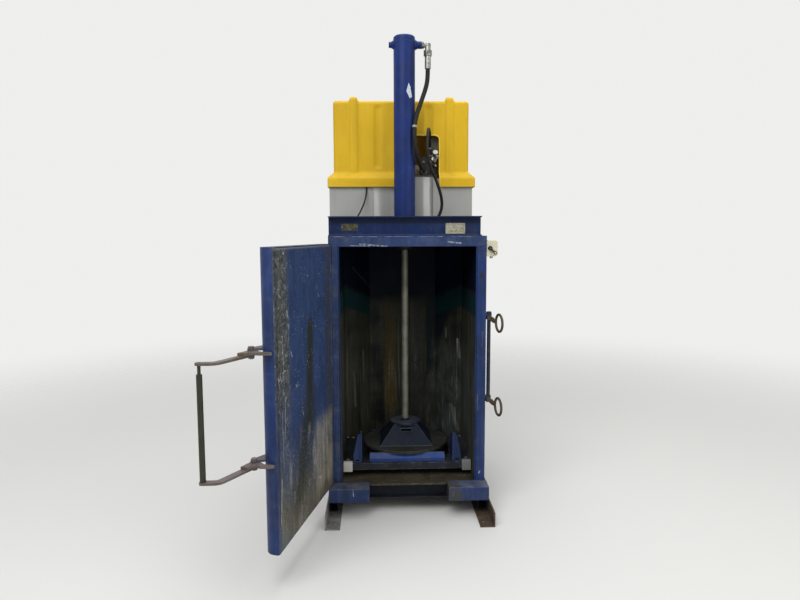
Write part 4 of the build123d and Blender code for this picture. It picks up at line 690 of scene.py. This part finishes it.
# Each finish with the nodes of the part that wear it
WORN_BY = {
    "feet": "anchor_feet", "base": "base_frame", "floor_plate": "floor_plate", "chamber": "chamber_shell",
    "blue": "roof_plate roof_frame door_pan", "blue_sill": "sill_blocks", "blue_jamb": "jamb_right",
    "blue_header": "header", "blue_beam": "top_beam", "blue_bright": "cylinder_tube",
    "blue_bar": "platen_stop_bars", "blue_dusty": "jamb_left hinge_leaf_frame hinge_leaf_door",
    "blue_cone": "platen_cone", "blue_upright": "platen_uprights",
    "blue_dull": "catch_lugs catch_shaft rod_flange", "door_face": "door_inner_plate",
    "lug": "latch_lugs", "lever": "latch_pins latch_arms", "grip": "latch_tie_rod grip_sleeve",
    "ring": "catch_arms", "gland": "jamb_bolt cylinder_gland",
    "steel": "hinge_pin switch_lever cylinder_bolts piston", "rod": "piston_rod", "cast": "switch_body",
    "roller": "switch_roller", "platen": "platen_disc", "frame": "platen_frame", "shoe": "guide_shoes",
    "zinc": "shoe_bolts upper_elbow lower_elbow hose_ferrules",
    "bright": "valve_cartridges manifold_fittings", "panel": "unit_deck skirt_panels", "tank": "oil_tank",
    "block": "tank_lid", "manifold": "bell_housing manifold", "motor": "motor motor_fan_cover",
    "iron": "pump cable_glands", "rubber": "return_hose feed_hose control_cable", "yellow": "cover",
}

for finish_name, node_names in WORN_BY.items():
    for node_name in node_names.split():
        node_materials = nodes[node_name].data.materials
        node_materials.clear()
        node_materials.append(finishes[finish_name])


# Helpers for new pieces
def loft(rings, closed=False):
    """A solid over rings of points in metres, capped at both ends or closed on itself."""
    bm = bmesh.new()
    rows = [[bm.verts.new(point) for point in ring] for ring in rings]
    if not closed:
        bm.faces.new(rows[0][::-1])
        bm.faces.new(rows[-1])
    for lower, upper in zip(rows, rows[1:] + rows[:1] if closed else rows[1:]):
        for i in range(len(lower)):
            j = (i + 1) % len(lower)
            bm.faces.new((lower[i], lower[j], upper[j], upper[i]))
    bmesh.ops.recalc_face_normals(bm, faces=bm.faces[:])
    return bm


def round_edges(bm, edges, radius, segments):
    bmesh.ops.bevel(bm, geom=edges, offset=radius, segments=segments, profile=0.5, affect="EDGES")


def along_y(edge):
    return abs(edge.verts[0].co.y - edge.verts[1].co.y) > 0.0001


def block(low, high, round_by=0, segments=3):
    """A box between two corners in metres, with its edges rounded."""
    bm = bmesh.new()
    bmesh.ops.create_cube(bm, size=1)
    for v in bm.verts:
        for i in range(3):
            v.co[i] = low[i] if v.co[i] < 0 else high[i]
    if round_by > 0:
        round_edges(bm, bm.edges[:], round_by, segments)
    return bm


def to_mesh(name, parts):
    """One mesh out of one or more solids."""
    whole = bmesh.new()
    for part in parts:
        mesh = bpy.data.meshes.new("part")
        part.to_mesh(mesh)
        whole.from_mesh(mesh)
        bpy.data.meshes.remove(mesh)
        part.free()
    mesh = bpy.data.meshes.new(name)
    whole.to_mesh(mesh)
    whole.free()
    return mesh


def smooth_shaded(mesh):
    mesh.polygons.foreach_set("use_smooth", [True] * len(mesh.polygons))


def place(name, parts, finish, body="machine", slot=None, smooth=True):
    """A piece of the scene, made of one or more solids, that rides on a body."""
    mesh = to_mesh(name, parts)
    piece = linked(name, mesh)
    mesh.materials.append(finishes[finish])
    if smooth:
        smooth_shaded(mesh)
    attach(piece, body)
    return piece


def modify(piece, kind, **settings):
    modifier = piece.modifiers.new(kind.lower(), kind)
    for name, value in settings.items():
        setattr(modifier, name, value)


def baked(piece):
    """The piece with its modifiers applied to its mesh."""
    mesh = bpy.data.meshes.new_from_object(piece.evaluated_get(bpy.context.evaluated_depsgraph_get()))
    old = piece.data
    piece.modifiers.clear()
    piece.data = mesh
    bpy.data.meshes.remove(old)
    return piece


def cut_out(piece, solid):
    """Cuts a solid out of a piece, after the modifiers that the piece has."""
    cutter = linked("cutter", to_mesh("cutter", [solid]))
    modify(piece, "BOOLEAN", operation="DIFFERENCE", object=cutter, solver="EXACT")
    bpy.context.view_layer.update()
    baked(piece)
    bpy.data.objects.remove(cutter)


def arc(centre, radius, start, stop, steps):
    """Points of a round corner in a plane, angles in degrees."""
    angles = [math.radians(start + (stop - start) * i / steps) for i in range(steps + 1)]
    return [(centre[0] + radius * math.cos(a), centre[1] + radius * math.sin(a)) for a in angles]


def circle(centre, side, rise, radius, sides, offset=0):
    turns = [2 * math.pi * (k + offset) / sides for k in range(sides)]
    return [centre + (side * math.cos(t) + rise * math.sin(t)) * radius for t in turns]


def tube(path, radii, sides=8, closed=False, up=UP):
    """A solid of round section along a path of points in metres."""
    last = len(path) - 1
    rings = []
    for i, point in enumerate(path):
        ahead = path[(i + 1) % len(path)] if closed else path[min(i + 1, last)]
        behind = path[i - 1] if closed else path[max(i - 1, 0)]
        run = (ahead - behind).normalized()
        side = run.cross(up).normalized()
        rings.append(circle(point, side, side.cross(run), radii[i], sides))
    return loft(rings, closed)


def weld(start, end, radius):
    """A rippled weld bead between two points, tapered at its ends."""
    steps = max(6, int((end - start).length / 0.0016))
    path, radii = [], []
    for i in range(steps + 1):
        share = i / steps
        taper = min(1, 0.45 + 6 * min(share, 1 - share))
        path.append(start.lerp(end, share))
        radii.append(radius * taper * (1 + 0.16 * math.sin(i * 2.1) + random.uniform(-0.06, 0.06)))
    return tube(path, radii)


def hoop(centre, radius, thickness, lumps=0, steps=96):
    """A ring round an upright axis."""
    turns = [2 * math.pi * i / steps for i in range(steps)]
    path = [centre + Vector((math.cos(t), math.sin(t), 0)) * radius for t in turns]
    return tube(path, [thickness * (1 + lumps * math.sin(i * 2.1)) for i in range(steps)], closed=True)


def turned(profile, centre, axis, sides=24):
    """A lathe form: pairs of distance along the axis and radius, in metres."""
    axis = axis.normalized()
    side = axis.orthogonal().normalized()
    return loft([circle(centre + axis * along, side, axis.cross(side), radius, sides, 0.5)
                 for along, radius in profile])


def rivet(centre, axis, radius):
    return turned([(0, radius), (0.35 * radius, 0.96 * radius), (0.65 * radius, 0.72 * radius),
                   (0.8 * radius, 0.3 * radius)], centre, axis, 16)


def hex_bolt(centre, axis, across):
    """Hexagon head with chamfered corners, on a washer."""
    half, height = across / math.sqrt(3), 0.6 * across
    washer = turned([(0, 0.62 * across), (0.0012, 0.62 * across), (0.0016, 0.58 * across)], centre, axis)
    return [washer, turned([(0.0012, half), (height * 0.8, half), (height, half * 0.84)], centre, axis, 6)]


# Moulded cover, in millimetres
COVER_LEFT, COVER_RIGHT, COVER_FRONT, COVER_REAR = -408, 381, 462, 716
ROUGH_FOOT, COVER_FOOT, LIP_TOP, SLOPE_TOP, COVER_TOP = 1700, 1767, 1823, 1853, 2263
LIP_OUT = 35
RIB_PLACES, RIB_HALF, RIB_OUT, RIB_FOOT, RIB_TOP = (-290, 268), 21, 9, 1806, 2285
GROOVE_PLACES, GROOVE_HALF, GROOVE_LOW, GROOVE_HIGH, GROOVE_FADE = (-150, 148), 20, 1870, 2240, 22
WINDOW_LEFT, WINDOW_RIGHT, WINDOW_TOP, WINDOW_CORNER = -22, 208, 2066, 28


def clamped(share):
    return max(0, min(1, share))


def groove(x, z):
    """Depth in metres of the upright grooves, which fade out above and below."""
    sunk = sum(0.0065 * math.exp(-((x - centre) / GROOVE_HALF) ** 4) for centre in GROOVE_PLACES)
    return sunk * (clamped((z - GROOVE_LOW) / GROOVE_FADE) * clamped((GROOVE_HIGH - z) / GROOVE_FADE))


def cover_ring(z, grow):
    left, right, front, rear = COVER_LEFT - grow, COVER_RIGHT + grow, COVER_FRONT - grow, COVER_REAR + grow
    return [at(left, front, z), at(right, front, z), at(right, rear, z), at(left, rear, z)]


def cover_box(grow, top, radius, segments):
    return block(cover_ring(ROUGH_FOOT, grow)[0], cover_ring(top, grow)[2], radius, segments)


def moulded_cover():
    """Skin with a flared lip, two ribs over its top, grooves in front and behind, and the window."""
    parts = [cover_box(0, COVER_TOP, 0.02, 4), cover_box(LIP_OUT, LIP_TOP, 0.01, 2),
             loft([cover_ring(LIP_TOP - 3, LIP_OUT - 1), cover_ring(SLOPE_TOP, 0)])]
    for centre in RIB_PLACES:
        rib = block(at(centre - RIB_HALF, COVER_FRONT - RIB_OUT, RIB_FOOT),
                    at(centre + RIB_HALF, COVER_REAR + RIB_OUT, RIB_TOP))
        ridges = [e for e in rib.edges
                  if abs(e.verts[0].co.x - e.verts[1].co.x) > 0.01 and e.verts[0].co.z > 2.2]
        round_edges(rib, ridges, 0.024, 5)
        parts.append(rib)
    piece = place("cover_moulding", parts, "yellow", slot="cover_yellow")
    modify(piece, "REMESH", mode="VOXEL", voxel_size=0.0058)
    modify(piece, "SMOOTH", factor=0.5, iterations=2)
    baked(piece)
    bm = bmesh.new()
    bm.from_mesh(piece.data)
    front, rear, flat = at(0, COVER_FRONT, 0).y, at(0, COVER_REAR, 0).y, 0.004
    for v in bm.verts:
        x, z = v.co.x * 1000, v.co.z * 1000
        if abs(v.co.y - front) < flat:
            v.co.y += groove(x, z)
        elif abs(v.co.y - rear) < flat:
            v.co.y -= groove(x, z)
        v.co.y += 0.0008 * math.sin(x / 61 + 1.3) * math.sin(z / 47) * (1 if v.co.y < 0.3 else -1)
    bmesh.ops.bisect_plane(bm, geom=bm.verts[:] + bm.edges[:] + bm.faces[:], plane_co=at(0, 0, COVER_FOOT),
                           plane_no=-UP, clear_outer=True)
    bm.to_mesh(piece.data)
    bm.free()
    modify(piece, "SOLIDIFY", thickness=0.005, offset=-1, use_even_offset=True)
    opening = block(at(WINDOW_LEFT, 405, ROUGH_FOOT), at(WINDOW_RIGHT, 500, WINDOW_TOP))
    round_edges(opening, [e for e in opening.edges if along_y(e) and e.verts[0].co.z > 2],
                WINDOW_CORNER / 1000, 8)
    cut_out(piece, opening)
    smooth_shaded(piece.data)
    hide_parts("cover")


moulded_cover()

# Door pan: one bent sheet with its broad free edge, closed all the way round
DOOR_LOW, DOOR_HIGH, DOOR_SKIN = 173, 1447, 5
DOOR_BACK, DOOR_FACE = -73, -5
DOOR_HINGE_EDGE, DOOR_FREE_EDGE = -411, 388
DOOR_ROUND, DOOR_BEND = 50, 8
REBATE_WIDTH, REBATE_DEPTH = 22, 21
CHAMBER_HALF = 357


def prism(outline, low, high):
    """A solid over an outline in plan of the closed door, carried round to the open door."""
    return loft([[on_door(x, y, z) for x, y in outline] for z in (low, high)])


def door_pan_sheet():
    hinge, free, skin = DOOR_HINGE_EDGE, DOOR_FREE_EDGE, DOOR_SKIN
    rebate, past_face = DOOR_FACE - REBATE_DEPTH, 1
    centre = (free - DOOR_ROUND, DOOR_BACK + DOOR_ROUND)
    outline = (arc((hinge + DOOR_BEND, DOOR_BACK + DOOR_BEND), DOOR_BEND, 180, 270, 5)
               + arc(centre, DOOR_ROUND, 270, 360, 16)
               + arc((free - DOOR_BEND, DOOR_FACE - DOOR_BEND), DOOR_BEND, 0, 90, 5)
               + [(hinge + REBATE_WIDTH, DOOR_FACE), (hinge + REBATE_WIDTH, rebate), (hinge, rebate)])
    hollow = ([(hinge + skin, DOOR_BACK + skin)] + arc(centre, DOOR_ROUND - skin, 270, 360, 16)
              + [(free - skin, DOOR_FACE - skin), (CHAMBER_HALF, DOOR_FACE - skin), (CHAMBER_HALF, past_face),
                 (hinge + REBATE_WIDTH + skin, past_face), (hinge + REBATE_WIDTH + skin, rebate - skin),
                 (hinge + skin, rebate - skin)])
    piece = place("door_pan_sheet", [prism(outline, DOOR_LOW, DOOR_HIGH)], "blue_door", "door", "blue_paint",
                  smooth=False)
    cut_out(piece, prism(hollow, DOOR_LOW + skin, DOOR_HIGH - skin))
    sharp = math.radians(35)
    modify(piece, "BEVEL", width=0.0012, segments=2, limit_method="ANGLE", angle_limit=sharp)
    baked(piece)
    smooth_shaded(piece.data)
    piece.data.set_sharp_from_angle(angle=sharp)
    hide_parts("door_pan")


door_pan_sheet()

# Bare plates on the web of the top beam, with their rivets
WEB_FRONT = 40
for name, left, low, right, high, corner, finish in (
        ("beam_plate_left", -346, 1515, -258, 1550, 0.004, "plate_dark"),
        ("beam_plate_right", 201, 1497, 303, 1552, 0.003, "plate_silver")):
    plate = block(at(left, WEB_FRONT - 1.2, low), at(right, WEB_FRONT, high))
    round_edges(plate, [e for e in plate.edges if along_y(e)], corner, 4)
    place(name, [plate], finish, slot="bare_steel", smooth=False)
rivet_places = ((-341, 1532), (-263, 1532), (207, 1503), (297, 1503), (207, 1546), (297, 1546))
place("plate_rivets", [rivet(at(x, WEB_FRONT - 1.1, z), FRONT, 0.0028) for x, z in rivet_places],
      "zinc", slot="bare_steel")

# Cylinder: its axis, the torn sticker, the seams of its cap, and the crimps of the upper hose's ferrule
CYLINDER_DEPTH = 355
STICKER_RADIUS = 0.0604


def torn_sticker():
    """What is left of a pale sticker, wrapped on the cylinder."""
    outline = [(22, 2324), (30, 2309), (35.5, 2300), (28.7, 2294), (37, 2272), (44.7, 2250), (28.6, 2241),
               (18, 2262), (8.8, 2280), (13, 2291), (15.5, 2302)]
    bm = bmesh.new()
    bm.faces.new([bm.verts.new((x / 1000, 0, z / 1000)) for x, z in outline])
    bmesh.ops.triangulate(bm, faces=bm.faces[:])
    bmesh.ops.subdivide_edges(bm, edges=bm.edges[:], cuts=7, use_grid_fill=True)
    axis_depth = at(0, CYLINDER_DEPTH, 0).y
    for v in bm.verts:
        angle = v.co.x / 0.06
        v.co = (STICKER_RADIUS * math.sin(angle), axis_depth - STICKER_RADIUS * math.cos(angle), v.co.z)
    bmesh.ops.recalc_face_normals(bm, faces=bm.faces[:])
    piece = place("cylinder_sticker", [bm], "sticker")
    modify(piece, "SOLIDIFY", thickness=0.0003, offset=0)
    baked(piece)


torn_sticker()
place("cylinder_cap_seam", [hoop(at(0, CYLINDER_DEPTH, 2570), 0.0598, 0.0016, 0.1),
                            hoop(at(0, CYLINDER_DEPTH, 2552), 0.0597, 0.0011)],
      "blue_seam", slot="blue_paint")
crimps = [hoop(at(131.5, CYLINDER_DEPTH, z), 0.0168, 0.001, steps=48) for z in range(2417, 2446, 7)]
place("ferrule_crimps", crimps, "zinc", slot="bare_steel")

# Weld beads where lugs, beams and blocks meet the sheets that carry them
LATCH_LUGS, CATCH_LUGS, LUG_THICK = (566, 1031), (623, 1066), 10
latch_edges, catch_edges = [[z for foot in lugs for z in (foot - 0.5, foot + LUG_THICK + 0.5)]
                            for lugs in (LATCH_LUGS, CATCH_LUGS)]
door_welds = [weld(on_door(286, DOOR_BACK - 0.6, z), on_door(336, DOOR_BACK - 0.6, z), 0.003)
              for z in latch_edges]
place("door_welds", door_welds, "blue_seam", "door", "blue_paint")
machine_welds = [weld(at(413.6, 6, z), at(413.6, 30, z), 0.0028) for z in catch_edges]
machine_welds += [weld(at(x, -0.4, 1486.5), at(x + 42, -0.4, 1486.5), 0.0026)
                  for x in (-330, -160, 10, 180, 330)]
machine_welds += [weld(at(x, -0.8, 166.2), at(x + 204, -0.8, 166.2), 0.0028) for x in (-418, 214)]
machine_welds += [weld(at(x, y, 161.5), at(x, y + 60, 161.5), 0.003)
                  for x in (-363.6, 363.6) for y in (90, 260, 430)]
place("machine_welds", machine_welds, "blue_seam", slot="blue_paint")

# Valve gear behind the cover's window, with one cartridge that leans to the front
place("valve_body", [block(at(150, 524, 1990), at(212, 580, 2062), 0.003, 2),
                     block(at(140, 518, 1962), at(208, 582, 1992), 0.002, 2),
                     block(at(30, 508, 1838), at(94, 560, 1900), 0.004, 2)],
      "valve", slot="bare_steel", smooth=False)
heads = []
for x, y, z, across in ((163, 524, 2044, 0.01), (158, 524, 2000, 0.011), (146, 518, 1976, 0.009),
                        (118, 496, 1916, 0.012), (88, 508, 1872, 0.01), (190, 497, 1896, 0.013)):
    heads += hex_bolt(at(x, y, z), FRONT, across)
cartridge_end = at(199, 452, 1951)
heads.append(turned([(0, 0.0085), (0.003, 0.0115), (0.012, 0.0115), (0.013, 0.01), (0.03, 0.01),
                     (0.031, 0.012), (0.042, 0.012)], cartridge_end, at(176, 470, 1913) - cartridge_end))
place("valve_bolts", heads, "zinc", slot="bare_steel", smooth=False)


def window_rim():
    """Rim round the window, paler than the cover as a painted highlight; it follows the cover's front, its
    slope and its lip.
    """
    left, right = WINDOW_LEFT + WINDOW_CORNER, WINDOW_RIGHT - WINDOW_CORNER
    middle = WINDOW_TOP - WINDOW_CORNER
    lower = (COVER_FOOT + 1, LIP_TOP, SLOPE_TOP)
    route = [(WINDOW_RIGHT, z) for z in (*lower, *range(1880, middle, 26))]
    route += arc((right, middle), WINDOW_CORNER, 0, 90, 8)
    route += [(x, WINDOW_TOP) for x in range(right - 8, left, -8)]
    route += arc((left, middle), WINDOW_CORNER, 90, 180, 8)
    route += [(WINDOW_LEFT, z) for z in (*range(2030, SLOPE_TOP, -26), *lower[::-1])]
    slope = SLOPE_TOP - LIP_TOP
    path = [at(x, COVER_FRONT - LIP_OUT * clamped((SLOPE_TOP - z) / slope), z) - FRONT * groove(x, z)
            for x, z in route]
    place("window_rim", [tube(path, [0.003] * len(path), up=-FRONT)], "yellow_rim_highlight", slot="cover_yellow")


window_rim()


# Hoses and cable: the routes of the part's source, as smooth splines
def free_cord(name, points, diameter, node):
    data = bpy.data.curves.new(name, "CURVE")
    data.dimensions = "3D"
    data.bevel_depth = diameter / 2000
    data.bevel_resolution = 6
    data.use_fill_caps = True
    spline = data.splines.new("NURBS")
    spline.points.add(len(points) - 1)
    for target, source in zip(spline.points, points):
        target.co = (*at(*source), 1)
    spline.order_u = 3
    spline.use_endpoint_u = True
    spline.resolution_u = 10
    cord = linked(name, data)
    data.materials.append(finishes["rubber"])
    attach(cord, "machine")
    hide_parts(node)
    return cord


def lower_elbow_axis(run):
    """A point on the lower elbow's rising axis, so far from the elbow's corner."""
    rise = math.radians(38)
    return (106 + run * math.cos(rise), 355, 1520 + run * math.sin(rise))


RETURN_ROUTE = [
    (131.5, 355, 2412), (131.5, 355, 2366), (123, 353, 2316), (106, 347, 2266), (88, 336, 2216),
    (70, 323, 2166), (56.5, 310, 2116), (52.5, 302, 2064), (55, 299, 2012), (62, 303, 1962),
    (75, 319, 1914), (91, 351, 1881), (107, 388, 1864), (119, 428, 1859), (119, 468, 1859)]
FEED_ROUTE = [
    (156, 492, 2003), (153, 462, 2039), (148, 423, 2072), (141, 378, 2089), (133, 333, 2081),
    (127, 295, 2050), (123, 270, 2007), (121, 262, 1958), (128, 267, 1906), (146, 278, 1856),
    (168, 291, 1809), (189, 306, 1759), (206, 323, 1708), (213, 339, 1662), (207, 350, 1621),
    lower_elbow_axis(104), lower_elbow_axis(62)]
CABLE_ROUTE = [
    (-217, 438.5, 1786), (-217, 438.5, 1752), (-220, 424, 1719), (-228, 407, 1684), (-240, 393, 1651),
    (-256, 380, 1618), (-275, 369, 1586), (-288, 363, 1554), (-290, 363, 1517)]

return_hose = free_cord("return_hose_tube", RETURN_ROUTE, 25, "return_hose")
feed_hose = free_cord("feed_hose_tube", FEED_ROUTE, 17, "feed_hose")
control_cable = free_cord("control_cable_tube", CABLE_ROUTE, 9, "control_cable")
tape_run = Vector((4, 8, 52)).normalized()
tape_path = [at(54.5, 306, 2090) + tape_run * along / 1000 for along in (-6.5, -6, -2, 2, 6, 6.5)]
tape = place("hose_tape", [tube(tape_path, (0.0128, 0.0134, 0.0136, 0.0133, 0.0135, 0.0128), 28)], "tape")
at(*RETURN_ROUTE[0])
at(*FEED_ROUTE[0])
at(*CABLE_ROUTE[0])
